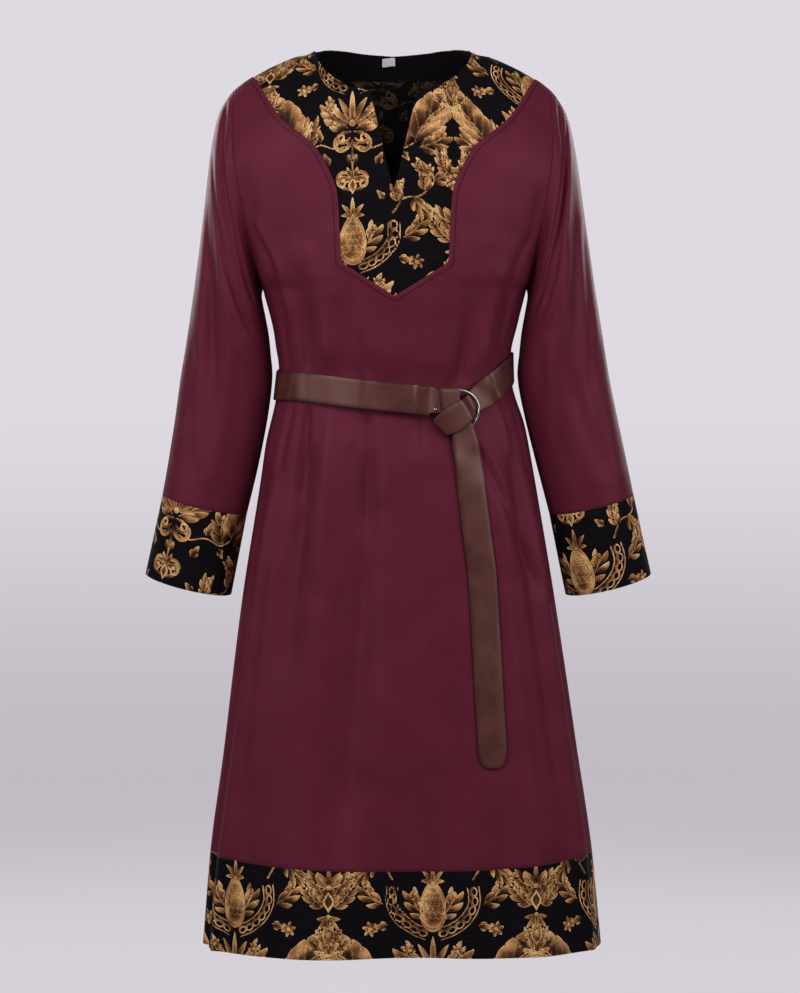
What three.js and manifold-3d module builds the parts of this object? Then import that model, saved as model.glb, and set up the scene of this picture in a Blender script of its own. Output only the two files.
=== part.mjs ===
// A calf-length kaftan, worn shape with no wearer: satin front, back and sleeves, brocade yoke, cuffs and
// hem bands, and a leather belt tied through a ring. Millimetres, +Z up, the front faces -Y, and +X is the
// wearer's left. The origin lies between the two shoulder ridges, where the wearer's shoulders hold it.
import * as THREE from "three";
import { mergeVertices } from "three/addons/utils/BufferGeometryUtils.js";
import Module from "manifold-3d";

const wasm = await Module();
wasm.setup();

// ---------------------------------------------------------------- driving dimensions
const CLOTH = 1.5; // wall of satin and brocade
const SEAM = 0.3; // gap between neighbouring pieces
const HEM_Z = -1154; // bottom edge
const BAND_TOP_Z = -1047; // top edge of the hem band at centre front and back
const BAND_BOW = { rise: 12, above: 160 }; // it rises towards the side seams, and the cloth above follows
const UNDERARM_Z = -309;
const ROUNDNESS = 2.4; // exponent of the body's horizontal sections
const SHOULDER_ROUNDING = 140; // height over which front and back close over the shoulder
const NECK_HALF = 104; // half width of the neck at the shoulder seams
const ARMHOLE_DEPTH = 66; // how far the armhole reaches in front of and behind the shoulder seam

// Horizontal sections. z: level. half: half width, or the armhole's x above the underarm. front and back:
// depth from the side seams. lean: x of the centre line.
const BODY = [
  { z: HEM_Z, half: 258, front: 158, back: 152, lean: 4.5 },
  { z: -1040, half: 246.5, front: 149, back: 144, lean: 3.5 },
  { z: -920, half: 231, front: 138, back: 136, lean: 2.8 },
  { z: -712, half: 203, front: 123, back: 122, lean: 0 },
  { z: -560, half: 178.5, front: 114, back: 113, lean: -0.8 },
  { z: -485, half: 166.5, front: 109, back: 108, lean: -2.5 },
  { z: -425, half: 155, front: 106, back: 104, lean: -4.5 },
  { z: -370, half: 156.5, front: 109, back: 103, lean: -4.5 },
  { z: UNDERARM_Z, half: 171, front: 114, back: 106, lean: -5 },
  { z: -242, half: 187, front: 113, back: 104, lean: -5.5 },
  { z: -125, half: 203, front: 100, back: 95, lean: -7 },
  { z: -60, half: 205, front: 90, back: 88, lean: -8 },
  { z: 0, half: 205, front: 82, back: 82, lean: -8 },
];

// The shoulder ridge, from the neck outwards. x: distance from the centre line. z: height of the ridge.
const RIDGE = [
  { x: 0, z: 62 },
  { x: 40, z: 54 },
  { x: 75, z: 32 },
  { x: NECK_HALF, z: 0 },
  { x: 128, z: -7 },
  { x: 164, z: -23 },
  { x: 191, z: -39 },
  { x: 205, z: -50 },
];

// The belt's middle line round the waist. turn: degrees from the centre front towards +X. z: level.
const BELT_LINE = [
  { turn: -130, z: -415 },
  { turn: -90, z: -433 },
  { turn: -45, z: -439 },
  { turn: -9, z: -450 },
  { turn: 12, z: -457 },
  { turn: 32, z: -457 },
  { turn: 50, z: -440 },
  { turn: 69, z: -420.5 },
  { turn: 90, z: -409 },
  { turn: 180, z: -398 },
  { turn: 230, z: -415 },
];
const BELT = { half: 18.5, thick: 2, clear: 1.4 };
const CINCH = { side: 4, middle: 9, above: 40, below: 60 }; // how the belt draws the cloth in

// Folds. turn: degrees from the centre of the front or back, towards +X. z: level. Each runs from its first
// point to its second, half is its half width in mm at both ends, and rise its height (a trough is negative).
const FOLDS = {
  front: [
    { turn: [-8, -17], z: [-478, -1100], half: [11, 24], rise: [-9, -11] },
    { turn: [-23, -27], z: [-485, -900], half: [15, 26], rise: [6, 3] },
    { turn: [-37, -42], z: [-482, -860], half: [10, 20], rise: [-7, -4] },
    { turn: [-58, -64], z: [-490, HEM_Z], half: [14, 13], rise: [7, 8] },
    { turn: [-72, -77], z: [-520, HEM_Z], half: [10, 12], rise: [-6, -8] },
    { turn: [-19, -21], z: [-960, HEM_Z], half: [40, 58], rise: [0, 15] },
    { turn: [1, 2], z: [-880, HEM_Z], half: [36, 46], rise: [-2, -36] },
    { turn: [24, 27], z: [-560, HEM_Z], half: [24, 44], rise: [-5, -3] },
    { turn: [43, 38], z: [-480, HEM_Z], half: [12, 30], rise: [6, 5] },
    { turn: [54, 56], z: [-478, -1000], half: [9, 16], rise: [-6, -5] },
    { turn: [66, 66], z: [-490, HEM_Z], half: [11, 18], rise: [5, 6] },
    { turn: [-44, -40], z: [-270, -435], half: [16, 10], rise: [-2, -8] },
    { turn: [-31, -29], z: [-250, -440], half: [20, 10], rise: [4, 5] },
    { turn: [-20, -17], z: [-330, -445], half: [12, 7], rise: [0, -5] },
    { turn: [36, 30], z: [-250, -440], half: [18, 9], rise: [-2, -7] },
    { turn: [48, 43], z: [-280, -440], half: [14, 9], rise: [2, 5] },
    { turn: [58, 60], z: [-170, -420], half: [12, 9], rise: [-3, -4] },
    { turn: [-56, -62], z: [-150, -400], half: [14, 9], rise: [-3, -4] },
  ],
  back: [
    { turn: [6, 9], z: [-420, -1120], half: [12, 26], rise: [-9, -10] },
    { turn: [-13, -15], z: [-420, -980], half: [14, 28], rise: [6, 5] },
    { turn: [-33, -34], z: [-425, HEM_Z], half: [11, 22], rise: [-8, -8] },
    { turn: [28, 31], z: [-425, HEM_Z], half: [14, 26], rise: [7, 8] },
    { turn: [47, 50], z: [-430, -1040], half: [10, 18], rise: [-7, -6] },
    { turn: [-56, -58], z: [-430, HEM_Z], half: [13, 20], rise: [6, 8] },
    { turn: [66, 68], z: [-440, HEM_Z], half: [12, 18], rise: [6, 7] },
    { turn: [-70, -73], z: [-440, HEM_Z], half: [11, 16], rise: [-6, -6] },
    { turn: [-22, -20], z: [-230, -375], half: [16, 10], rise: [-2, -7] },
    { turn: [18, 15], z: [-210, -370], half: [17, 10], rise: [-2, -6] },
    { turn: [40, 36], z: [-220, -380], half: [14, 10], rise: [2, 5] },
    { turn: [-44, -40], z: [-220, -380], half: [15, 10], rise: [2, 5] },
  ],
};

// Outlines seen from the front, as [distance from the centre line, z]. The yoke is drawn from the shoulder
// inwards: a curve, then straight down its column, then to the point.
const YOKE = {
  lean: -4.5,
  curve: [
    [198, -20],
    [182, -37],
    [146, -95],
    [103, -133],
    [86, -160],
    [74, -190],
    [71, -215],
  ],
  column: [68, -283],
  point: [0, -326],
};
const NECKLINE = {
  lean: -6,
  front: [
    [NECK_HALF + 3, 12],
    [NECK_HALF, 0],
    [90, -32],
    [60, -57],
  ],
  corner: [31, -64],
  slit: [0, -193],
  slitWidth: 3,
  back: [
    [NECK_HALF + 3, -6],
    [NECK_HALF, 0],
    [84, 5],
    [50, 8],
    [0, 5],
  ],
};
const BACK_YOKE = [
  [198, -20],
  [182, -37],
  [150, -70],
  [105, -104],
  [55, -124],
  [0, -130],
];
const FACING = [
  [112, 0],
  [106, -45],
  [88, -92],
  [56, -128],
  [36, -170],
  [26, -206],
  [0, -213],
];
const FACING_THICK = 1;
const LABEL = { x: -13, width: 17, drop: 9, thick: 1 };

// Sleeve rings from the armhole to the cuff. out and in: [distance from the centre line, z] of the ring's
// outer and inner end. front and back: its depths.
const SLEEVE = [
  { out: [205, -50], in: [172.6, -309], front: 66, back: 66 },
  { out: [214.5, -62], in: [173.4, -312], front: 67, back: 66 },
  { out: [227, -86], in: [173.6, -317], front: 69, back: 68 },
  { out: [237, -132], in: [172.4, -325], front: 71, back: 70 },
  { out: [246.5, -205], in: [168.6, -343], front: 71, back: 71 },
  { out: [256, -276], in: [164.4, -366], front: 68, back: 69 },
  { out: [266, -345], in: [161.4, -394], front: 64, back: 65 },
  { out: [276, -408], in: [159.4, -424], front: 61, back: 62 },
  { out: [286, -468], in: [166, -470], front: 58, back: 59 },
  { out: [297, -528], in: [180, -534], front: 54, back: 55 },
  { out: [306, -575], in: [196.5, -600], front: 50, back: 51 },
];
const CUFF = [
  { out: [306, -575], in: [196.5, -600], front: 50, back: 51 },
  { out: [317, -626], in: [206.6, -652], front: 49, back: 49 },
  { out: [328.3, -677], in: [217, -704], front: 48, back: 47 },
];
const ARMHOLE_GAP = 0.8;
const SLEEVE_DROP = 7; // the front of each ring hangs a little lower than its ends

// Sleeve folds. at: ring numbers where it starts and ends. turn: degrees round the ring from its outer end
// over the front, at both ends. half: half width in degrees. rise: height in mm.
const SLEEVE_FOLDS = [
  { at: [0.6, 5.2], turn: [24, 118], half: [11, 13], rise: [-4, -8] },
  { at: [1.4, 4.6], turn: [50, 140], half: [10, 11], rise: [-3, -7] },
  { at: [3.2, 8.6], turn: [46, 84], half: [12, 15], rise: [-5, -6] },
  { at: [4.0, 9.0], turn: [74, 128], half: [12, 13], rise: [4, 5] },
  { at: [6.2, 9.6], turn: [30, 66], half: [12, 15], rise: [-3, -5] },
  { at: [1.0, 5.6], turn: [-30, -124], half: [11, 14], rise: [-3, -8] },
  { at: [3.8, 8.8], turn: [-58, -96], half: [13, 15], rise: [-5, -6] },
  { at: [6.4, 9.7], turn: [-110, -64], half: [12, 14], rise: [4, 4] },
];

const COLOURS = {
  satin: [0x6a2637, 0.42, 0],
  brocade: [0x2a1d16, 0.6, 0],
  leather: [0x5a3733, 0.4, 0],
  metal: [0xc9c4bf, 0.25, 1],
  label: [0xe8e6ee, 0.7, 0],
};

// ---------------------------------------------------------------- small tools
const clamp = (v, low, high) => Math.min(high, Math.max(low, v));
const mix = (a, b, t) => a + (b - a) * t;
const smooth = (t) => t * t * (3 - 2 * t);
const radians = THREE.MathUtils.degToRad;
const steps = (count) => Array.from({ length: count + 1 }, (_, i) => i / count);

// A column of a table at a key, by Catmull-Rom between its rows.
function tableValue(rows, key, column, at) {
  const rising = rows[0][key] < rows[rows.length - 1][key];
  const last = rows.length - 1;
  let i = rows.findIndex((r) => (rising ? r[key] > at : r[key] < at)) - 1;
  if (i < 0) i = (rising ? at < rows[0][key] : at > rows[0][key]) ? 0 : last - 1;
  const t = clamp((at - rows[i][key]) / (rows[i + 1][key] - rows[i][key]), 0, 1);
  const value = (k) => rows[clamp(k, 0, last)][column];
  const slope = (k) => {
    const low = clamp(k - 1, 0, last);
    const high = clamp(k + 1, 0, last);
    return (value(high) - value(low)) / (rows[high][key] - rows[low][key]);
  };
  const span = rows[i + 1][key] - rows[i][key];
  const [p, q] = [value(i), value(i + 1)];
  const [m, n] = [slope(i) * span, slope(i + 1) * span];
  return (2 * t ** 3 - 3 * t ** 2 + 1) * p + (t ** 3 - 2 * t ** 2 + t) * m
    + (3 * t ** 2 - 2 * t ** 3) * q + (t ** 3 - t ** 2) * n;
}

// How much a fold lifts the cloth at distance `across` from its line, a share `along` of its length.
function foldLift(rise, along, distance, half) {
  if (along <= 0 || along >= 1 || Math.abs(distance) > 2.5 * half) return 0;
  const ends = smooth(clamp(along / 0.16, 0, 1)) * smooth(clamp((1 - along) / 0.22, 0, 1));
  return mix(rise[0], rise[1], along) * ends * Math.exp(-((distance / half) ** 2));
}

// ---------------------------------------------------------------- the body's form
// turn: degrees from the centre of the front or back, towards +X.
const beltLevel = (face, turn) => tableValue(BELT_LINE, "turn", "z", face === "front" ? turn : (turn < -50 ? -180 : 180) - turn);

function foldsAt(face, turn, z, half) {
  let lift = 0;
  for (const f of FOLDS[face]) {
    const bottom = f.z[1] === HEM_Z ? HEM_Z - 200 : f.z[1]; // a fold that reaches the hem runs off it
    const along = (z - f.z[0]) / (bottom - f.z[0]);
    const share = clamp((z - f.z[0]) / (f.z[1] - f.z[0]), 0, 1);
    const across = radians(turn - mix(f.turn[0], f.turn[1], share)) * half;
    lift += foldLift(f.rise, along, across, mix(f.half[0], f.half[1], share));
  }
  return lift;
}

// A point of the cloth's outer surface. face: "front" or "back". s: -1 to 1 across the panel. level: z
// before the shoulder's slope is added, and 0 is the shoulder seam.
function bodyPoint(face, s, level, { folds = true } = {}) {
  const row = (column) => tableValue(BODY, "z", column, level);
  const up = clamp((level - UNDERARM_Z) / 80, 0, 1);
  const edgeTurn = mix(90, 64, smooth(up));
  const turn = radians(edgeTurn * s);
  const power = 2 / ROUNDNESS;
  const sine = (a) => Math.sign(a) * Math.abs(Math.sin(a)) ** power;
  const cosine = (a) => Math.max(Math.cos(a), 0) ** power;
  const edgeCos = edgeTurn < 90 ? cosine(radians(edgeTurn)) : 0;
  const half = row("half");
  const across = (half * sine(turn)) / sine(radians(edgeTurn));
  const closing = clamp(1 + level / SHOULDER_ROUNDING, 0, 1);
  const round = Math.sqrt(Math.max(1 - closing ** 2, 0));
  const middle = UNDERARM_Z / 2;
  const onRing = clamp((level - middle) / middle, -1, 1);
  const edgeDepth = level > UNDERARM_Z ? ARMHOLE_DEPTH * Math.sqrt(1 - onRing ** 2) : 0;
  const full = Math.max(row(face) * round, edgeDepth);
  const share = (cosine(turn) - edgeCos) / (1 - edgeCos);
  let depth = edgeDepth + (full - edgeDepth) * share;
  const slope = 1 - smooth(clamp((-20 - level) / 240, 0, 1));
  const near = level < BAND_TOP_Z ? (level - HEM_Z) / (BAND_TOP_Z - HEM_Z) : 1 - (level - BAND_TOP_Z) / BAND_BOW.above;
  const bow = BAND_BOW.rise * Math.sin(turn) ** 2 * smooth(clamp(near, 0, 1));
  const z = level + tableValue(RIDGE, "x", "z", Math.abs(across)) * slope + bow;
  const sign = face === "front" ? -1 : 1;
  const out = new THREE.Vector2(Math.sin(turn) / half, Math.cos(turn) / Math.max(full, 1)).normalize();
  const toBelt = z - beltLevel(face, THREE.MathUtils.radToDeg(turn));
  const grip = Math.exp(-((toBelt / (toBelt > 0 ? CINCH.above : CINCH.below)) ** 4));
  let lift = -mix(CINCH.side, CINCH.middle, Math.cos(turn) ** 2) * grip;
  const fade = smooth(clamp(-level / 60, 0, 1)); // the shoulder seam stays where it is
  const side = smooth(clamp((1 - Math.abs(s)) / 0.05, 0, 1)); // and so does the side seam
  if (folds)
    lift += foldsAt(face, THREE.MathUtils.radToDeg(turn), z, (half + full) / 2) * (1 - 0.9 * grip) * fade * side;
  const x = across + out.x * lift;
  depth = Math.max(depth + out.y * lift, 0);
  return new THREE.Vector3(x + row("lean"), sign * (depth + SEAM / 2), z);
}

// ---------------------------------------------------------------- walls
// A closed wall over a grid of outer points, its thickness inwards. wrap joins the last column to the first.
// firstNormals, if given, are the directions out of the first row. square lists rows whose edge is cut
// square to a direction, as [row, direction].
function wallOf(grid, centre, { thick = CLOTH, wrap = false, firstNormals = null, shift = 0, square = [] } = {}) {
  const rows = grid.length;
  const columns = grid[0].length;
  const at = (i, j) => grid[clamp(i, 0, rows - 1)][wrap ? (j + columns) % columns : clamp(j, 0, columns - 1)];
  const normals = grid.map((line, i) =>
    line.map((_, j) => {
      const along = at(i, j + 1).clone().sub(at(i, j - 1));
      const up = at(i + 1, j).clone().sub(at(i - 1, j));
      return along.cross(up).normalize();
    }),
  );
  let sum = 0;
  grid.forEach((line, i) => line.forEach((p, j) => (sum += normals[i][j].dot(p.clone().sub(centre(p, i))))));
  if (sum < 0) normals.forEach((line) => line.forEach((n) => n.negate()));
  // At a side or shoulder seam the cloth's edge lies in the seam's own plane.
  grid.forEach((line, i) => line.forEach((p, j) => Math.abs(p.y) < SEAM && normals[i][j].setY(0).normalize()));
  square.forEach(([row, direction]) => normals[row].forEach((n) => n.projectOnPlane(direction).normalize()));
  if (firstNormals) firstNormals.forEach((n, j) => normals[0][j].copy(n));
  const points = [];
  const layer = (distance) =>
    grid.map((line, i) => line.map((p, j) => points.push(p.clone().addScaledVector(normals[i][j], -distance)) - 1));
  const outer = layer(shift);
  const inner = layer(shift + thick);
  const faces = [];
  const quad = (a, b, c, d) => faces.push([a, b, c], [a, c, d]);
  const lastColumn = wrap ? columns : columns - 1;
  for (let i = 0; i < rows - 1; i += 1)
    for (let j = 0; j < lastColumn; j += 1) {
      const k = (j + 1) % columns;
      quad(outer[i][j], outer[i][k], outer[i + 1][k], outer[i + 1][j]);
      quad(inner[i][j], inner[i + 1][j], inner[i + 1][k], inner[i][k]);
    }
  for (let j = 0; j < lastColumn; j += 1) {
    const k = (j + 1) % columns;
    quad(outer[0][k], outer[0][j], inner[0][j], inner[0][k]);
    quad(outer[rows - 1][j], outer[rows - 1][k], inner[rows - 1][k], inner[rows - 1][j]);
  }
  if (!wrap)
    for (let i = 0; i < rows - 1; i += 1) {
      quad(outer[i][0], outer[i + 1][0], inner[i + 1][0], inner[i][0]);
      quad(outer[i + 1][columns - 1], outer[i][columns - 1], inner[i][columns - 1], inner[i + 1][columns - 1]);
    }
  return solidOf(points, faces);
}

function solidOf(points, faces) {
  const vertProperties = new Float32Array(points.flatMap((p) => [p.x, p.y, p.z]));
  const made = (list) => new wasm.Manifold(new wasm.Mesh({
    numProp: 3,
    vertProperties,
    triVerts: new Uint32Array(list.flat()),
  }));
  const solid = made(faces);
  return solid.volume() > 0 ? solid : made(faces.map(([a, b, c]) => [a, c, b]));
}

function solidOfGeometry(geometry) {
  geometry.deleteAttribute("normal");
  geometry.deleteAttribute("uv");
  const merged = mergeVertices(geometry, 1e-4);
  return new wasm.Manifold(new wasm.Mesh({
    numProp: 3,
    vertProperties: new Float32Array(merged.attributes.position.array),
    triVerts: new Uint32Array(merged.index.array),
  }));
}

// A block with an outline seen from the front, from y = near to y = far.
function prism(outline, near, far) {
  const shape = new THREE.Shape(outline.map(([x, z]) => new THREE.Vector2(x, z)));
  const geometry = new THREE.ExtrudeGeometry(shape, { depth: Math.abs(far - near), bevelEnabled: false });
  geometry.rotateX(Math.PI / 2).translate(0, Math.max(near, far), 0);
  return solidOfGeometry(geometry);
}

const FRONT_REACH = [12, -260];
const BACK_REACH = [-12, 260];

// Points along a spline through [x, z] pairs.
const curveOf = (pairs, count) =>
  new THREE.SplineCurve(pairs.map(([x, z]) => new THREE.Vector2(x, z))).getPoints(count).map((p) => [p.x, p.y]);

// Half an outline from the right, mirrored and joined, with its centre at lean. grow moves it outwards.
function mirrored(half, lean, grow) {
  const both = [...half, ...half.filter(([x]) => x > 0).reverse().map(([x, z]) => [-x, z])];
  const count = both.length;
  return both.map(([x, z], i) => {
    const before = both[(i + count - 1) % count];
    const after = both[(i + 1) % count];
    const normal = new THREE.Vector2(after[1] - before[1], before[0] - after[0]).normalize();
    return [x + lean - normal.x * grow, z - normal.y * grow];
  });
}

const TOP = 120; // above the whole garment
function yokeOutline(grow) {
  const half = [[YOKE.curve[0][0], TOP], ...curveOf(YOKE.curve, 14), YOKE.column, YOKE.point];
  return mirrored(half, YOKE.lean, grow);
}
function backYokeOutline(grow) {
  return mirrored([[BACK_YOKE[0][0], TOP], ...curveOf(BACK_YOKE, 12)], YOKE.lean, grow);
}
function frontNeckOutline() {
  const half = [[NECKLINE.front[0][0], TOP], ...curveOf(NECKLINE.front, 8), NECKLINE.corner,
    [NECKLINE.slitWidth / 2, NECKLINE.slit[1] + 4], NECKLINE.slit];
  return mirrored(half, NECKLINE.lean, 0);
}
function backNeckOutline() {
  return mirrored([[NECKLINE.back[0][0], TOP], ...curveOf(NECKLINE.back, 10)], NECKLINE.lean, 0);
}

// ---------------------------------------------------------------- body pieces
const LEVELS = {
  skirt: [BAND_TOP_Z + SEAM, -1010, -965, -915, -860, -795, -730, -665, -605, -555, -520],
  waist: [-495, -475, -457, -440, -423, -405, -385, -358],
  chest: [-332, -309, -300, -284, -256, -224, -190],
};
const shoulderLevels = steps(6).slice(1).map((t) => -SHOULDER_ROUNDING * (1 - Math.sin((t * Math.PI) / 2)));
const panelLevels = [...LEVELS.skirt, ...LEVELS.waist, ...LEVELS.chest, -SHOULDER_ROUNDING, ...shoulderLevels];
const axisOf = (p) => new THREE.Vector3(0, 0, Math.min(p.z, -90));

function bodyGrid(face, levels, columns, from = -1, to = 1) {
  return levels.map((level) => steps(columns).map((t) => bodyPoint(face, mix(from, to, t), level)));
}

const UP = new THREE.Vector3(0, 0, 1);
const FRONT_COLUMNS = 28;
const BACK_COLUMNS = 24;
const backGrid = bodyGrid("back", panelLevels, BACK_COLUMNS);
const frontWall = wallOf(bodyGrid("front", panelLevels, FRONT_COLUMNS), axisOf, { square: [[0, UP]] });
const backWall = wallOf(backGrid, axisOf, { square: [[0, UP]] });
const frontNeck = prism(frontNeckOutline(), ...FRONT_REACH);
const backNeck = prism(backNeckOutline(), ...BACK_REACH);

const frontPanel = frontWall.subtract(prism(yokeOutline(SEAM / 2), ...FRONT_REACH));
const frontYoke = frontWall.intersect(prism(yokeOutline(-SEAM / 2), ...FRONT_REACH)).subtract(frontNeck);
const backPanel = backWall.subtract(prism(backYokeOutline(SEAM / 2), ...BACK_REACH));
const backYoke = backWall.intersect(prism(backYokeOutline(-SEAM / 2), ...BACK_REACH)).subtract(backNeck);

const hemBand = (face, columns) =>
  wallOf(bodyGrid(face, [HEM_Z, -1120, -1083, BAND_TOP_Z], columns), axisOf, { square: [[3, UP]] });

// The facing lies inside the back yoke, and the label on the facing.
const insideBack = (shift, thick) => wallOf(backGrid, axisOf, { thick, shift });
function neckFacing() {
  const outline = mirrored([[FACING[0][0], TOP], ...curveOf(FACING, 10)], NECKLINE.lean, 0);
  return insideBack(CLOTH + SEAM, FACING_THICK).intersect(prism(outline, ...BACK_REACH)).subtract(backNeck);
}
function neckLabel() {
  const [left, right] = [LABEL.x - LABEL.width / 2, LABEL.x + LABEL.width / 2];
  const top = NECKLINE.back[4][1] - 2.5;
  const bottom = top - LABEL.drop;
  const outline = [[left, bottom], [right, bottom], [right, top], [left, top]];
  return insideBack(CLOTH + FACING_THICK + 2 * SEAM, LABEL.thick).intersect(prism(outline, ...BACK_REACH));
}

// ---------------------------------------------------------------- sleeves
const RING_SIDES = 16;

// A point of a sleeve's outer surface. side: 1 for the wearer's left. ring: ring number, may lie between
// two. turn: degrees round from the outer end over the front.
function sleevePoint(table, side, ring, turn, folds) {
  const i = clamp(Math.floor(ring), 0, table.length - 2);
  const rows = table.map((r, n) => ({ n, ox: r.out[0], oz: r.out[1], ix: r.in[0], iz: r.in[1], f: r.front, b: r.back }));
  const value = (column) => tableValue(rows.slice(Math.max(i - 1, 0), i + 3), "n", column, ring);
  const outer = new THREE.Vector3(value("ox"), 0, value("oz"));
  const inner = new THREE.Vector3(value("ix"), 0, value("iz"));
  const a = radians(turn);
  const point = outer.clone().add(inner).multiplyScalar(0.5);
  const reach = outer.clone().sub(inner).multiplyScalar(0.5);
  const depth = Math.sin(a) >= 0 ? value("f") : value("b");
  point.addScaledVector(reach, Math.cos(a));
  point.y = -Math.sin(a) * depth;
  if (folds) {
    const across = new THREE.Vector3(reach.x, 0, reach.z).normalize().multiplyScalar(Math.cos(a));
    across.y = -Math.sin(a);
    let lift = 0;
    for (const f of SLEEVE_FOLDS) {
      const along = (ring - f.at[0]) / (f.at[1] - f.at[0]);
      const t = clamp(along, 0, 1);
      const away = THREE.MathUtils.euclideanModulo(turn - mix(f.turn[0], f.turn[1], t) + 180, 360) - 180;
      lift += foldLift(f.rise, along, away, mix(f.half[0], f.half[1], t));
    }
    const inside = smooth(clamp((Math.abs(Math.abs(a > Math.PI ? a - 2 * Math.PI : a)) - 2.3) / 0.6, 0, 1));
    point.addScaledVector(across, lift * (1 - inside)); // nothing bulges towards the body
  }
  point.z -= SLEEVE_DROP * Math.sin(a) * (table === CUFF ? 1 : clamp((ring - 3) / 5, 0, 1));
  point.x = side * point.x + tableValue(BODY, "z", "lean", point.z);
  return point;
}

// The armhole's edge on the body, and the direction out of the cloth there.
function armholePoint(side, turn) {
  const middle = UNDERARM_Z / 2;
  const level = middle - middle * Math.cos(radians(turn));
  const face = Math.sin(radians(turn)) >= 0 ? "front" : "back";
  const edge = (s, l) => bodyPoint(face, s * side, Math.min(l, 0), { folds: false });
  const point = edge(1, level);
  const along = edge(1, level + 1).sub(edge(1, level - 1));
  const across = point.clone().sub(edge(0.97, level));
  const normal = along.cross(across).normalize();
  const outwards = new THREE.Vector3(side, 0, 0).add(new THREE.Vector3(0, point.y / ARMHOLE_DEPTH, 0));
  if (normal.dot(outwards) < 0) normal.negate();
  return { point, normal };
}

function sleeveGrid(side) {
  const turns = steps(RING_SIDES).slice(0, -1).map((t) => t * 360);
  const rings = [0, 0.7, 1.4, 2.1, 2.8, 3.5, 4.2, 5, 5.8, 6.7, 7.6, 8.5, 9.3, 9.994];
  const starts = turns.map((turn) => armholePoint(side, turn).point);
  return rings.map((ring) =>
    turns.map((turn, j) => {
      const plain = sleevePoint(SLEEVE, side, 0, turn, false);
      const fade = 1 - smooth(clamp(ring / 4.5, 0, 1));
      const offset = starts[j].clone().sub(plain).multiplyScalar(fade);
      const point = sleevePoint(SLEEVE, side, ring, turn, ring > 0).add(offset);
      point.x += side * ARMHOLE_GAP * clamp(1 - ring / 3, 0, 1);
      return point;
    }),
  );
}

const ringCentre = (grid) => {
  const centres = grid.map((line) => line.reduce((sum, p) => sum.add(p), new THREE.Vector3()).divideScalar(line.length));
  return (_, i) => centres[i];
};

// The direction along the sleeve at the cuff seam.
function sleeveEnd(side) {
  const [top, bottom] = [CUFF[0], CUFF[1]].map((r) => [(r.out[0] + r.in[0]) / 2, (r.out[1] + r.in[1]) / 2]);
  return new THREE.Vector3(side * (bottom[0] - top[0]), 0, bottom[1] - top[1]).normalize();
}

function sleeve(side) {
  const grid = sleeveGrid(side);
  const firstNormals = grid[0].map((_, j) => armholePoint(side, (j * 360) / RING_SIDES).normal);
  return wallOf(grid, ringCentre(grid), { wrap: true, firstNormals, square: [[grid.length - 1, sleeveEnd(side)]] });
}

function cuff(side) {
  const turns = steps(RING_SIDES).slice(0, -1).map((t) => t * 360);
  const grid = [0.003, 0.7, 1.35, 2].map((ring) => turns.map((turn) => sleevePoint(CUFF, side, ring, turn, false)));
  return wallOf(grid, ringCentre(grid), { wrap: true, square: [[0, sleeveEnd(side)]] });
}

// ---------------------------------------------------------------- belt
// A strip of leather through cross-sections { middle, width, half }: width is the direction across it.
function strip(sections) {
  const points = [];
  const at = (i) => sections[clamp(i, 0, sections.length - 1)].middle;
  const rings = sections.map(({ middle, width, half }, i) => {
    const along = at(i + 1).clone().sub(at(i - 1)).normalize();
    const across = width.clone().projectOnPlane(along).normalize();
    const out = across.clone().cross(along);
    return [[1, 1], [1, -1], [-1, -1], [-1, 1]].map(([w, n]) =>
      points.push(middle.clone().addScaledVector(across, w * half).addScaledVector(out, (n * BELT.thick) / 2)) - 1);
  });
  const faces = [];
  rings.slice(1).forEach((ring, i) => {
    for (let k = 0; k < 4; k += 1) {
      const m = (k + 1) % 4;
      faces.push([rings[i][k], rings[i][m], ring[m]], [rings[i][k], ring[m], ring[k]]);
    }
  });
  const [first, last] = [rings[0], rings[rings.length - 1]];
  faces.push([first[2], first[1], first[0]], [first[3], first[2], first[0]]);
  faces.push([last[0], last[1], last[2]], [last[0], last[2], last[3]]);
  return solidOf(points, faces);
}

// The outer surface of the front at x and z, below the armholes.
function clothAt(x, z) {
  let [low, high] = [-1, 1];
  for (let n = 0; n < 20; n += 1) {
    const middle = (low + high) / 2;
    if (bodyPoint("front", middle, z).x < x) low = middle;
    else high = middle;
  }
  return bodyPoint("front", low, z);
}

// A section of the belt round the waist, lying on the cloth. turn: degrees from centre front towards +X.
function waistSection(turn, lift = 0) {
  const wrapped = THREE.MathUtils.euclideanModulo(turn + 180, 360) - 180;
  const face = Math.abs(wrapped) <= 90 ? "front" : "back";
  const s = (face === "front" ? wrapped : Math.sign(wrapped) * 180 - wrapped) / 90;
  const level = beltLevel(face, s * 90);
  const [low, middle, high] = [-1, 0, 1].map((w) => bodyPoint(face, s, level + w * BELT.half));
  const beside = (t) => bodyPoint(face, clamp(s + t, -1, 1), level, { folds: false });
  const out = beside(0.03).sub(beside(-0.03)).setZ(0).normalize().cross(UP);
  if (out.dot(middle) < 0) out.negate();
  const width = high.clone().sub(low);
  const centre = low.clone().add(high).multiplyScalar(0.5);
  const bulge = Math.max(middle.clone().sub(centre).dot(out), 0);
  return {
    middle: centre.addScaledVector(out, bulge + BELT.clear + BELT.thick / 2 + lift),
    width: width.normalize(),
    half: BELT.half,
  };
}

// Round the knot, depths are measured outwards from a plane that just touches the cloth there.
const KNOT_PLANE = { x: 70, y: -95.6, slope: 0.26 };
function knotSection([x, z, depth, angle, half]) {
  const a = radians(angle);
  return {
    middle: new THREE.Vector3(x, KNOT_PLANE.y + KNOT_PLANE.slope * (x - KNOT_PLANE.x) - depth, z),
    width: new THREE.Vector3(Math.cos(a), KNOT_PLANE.slope * Math.cos(a), Math.sin(a)),
    half,
  };
}

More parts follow.
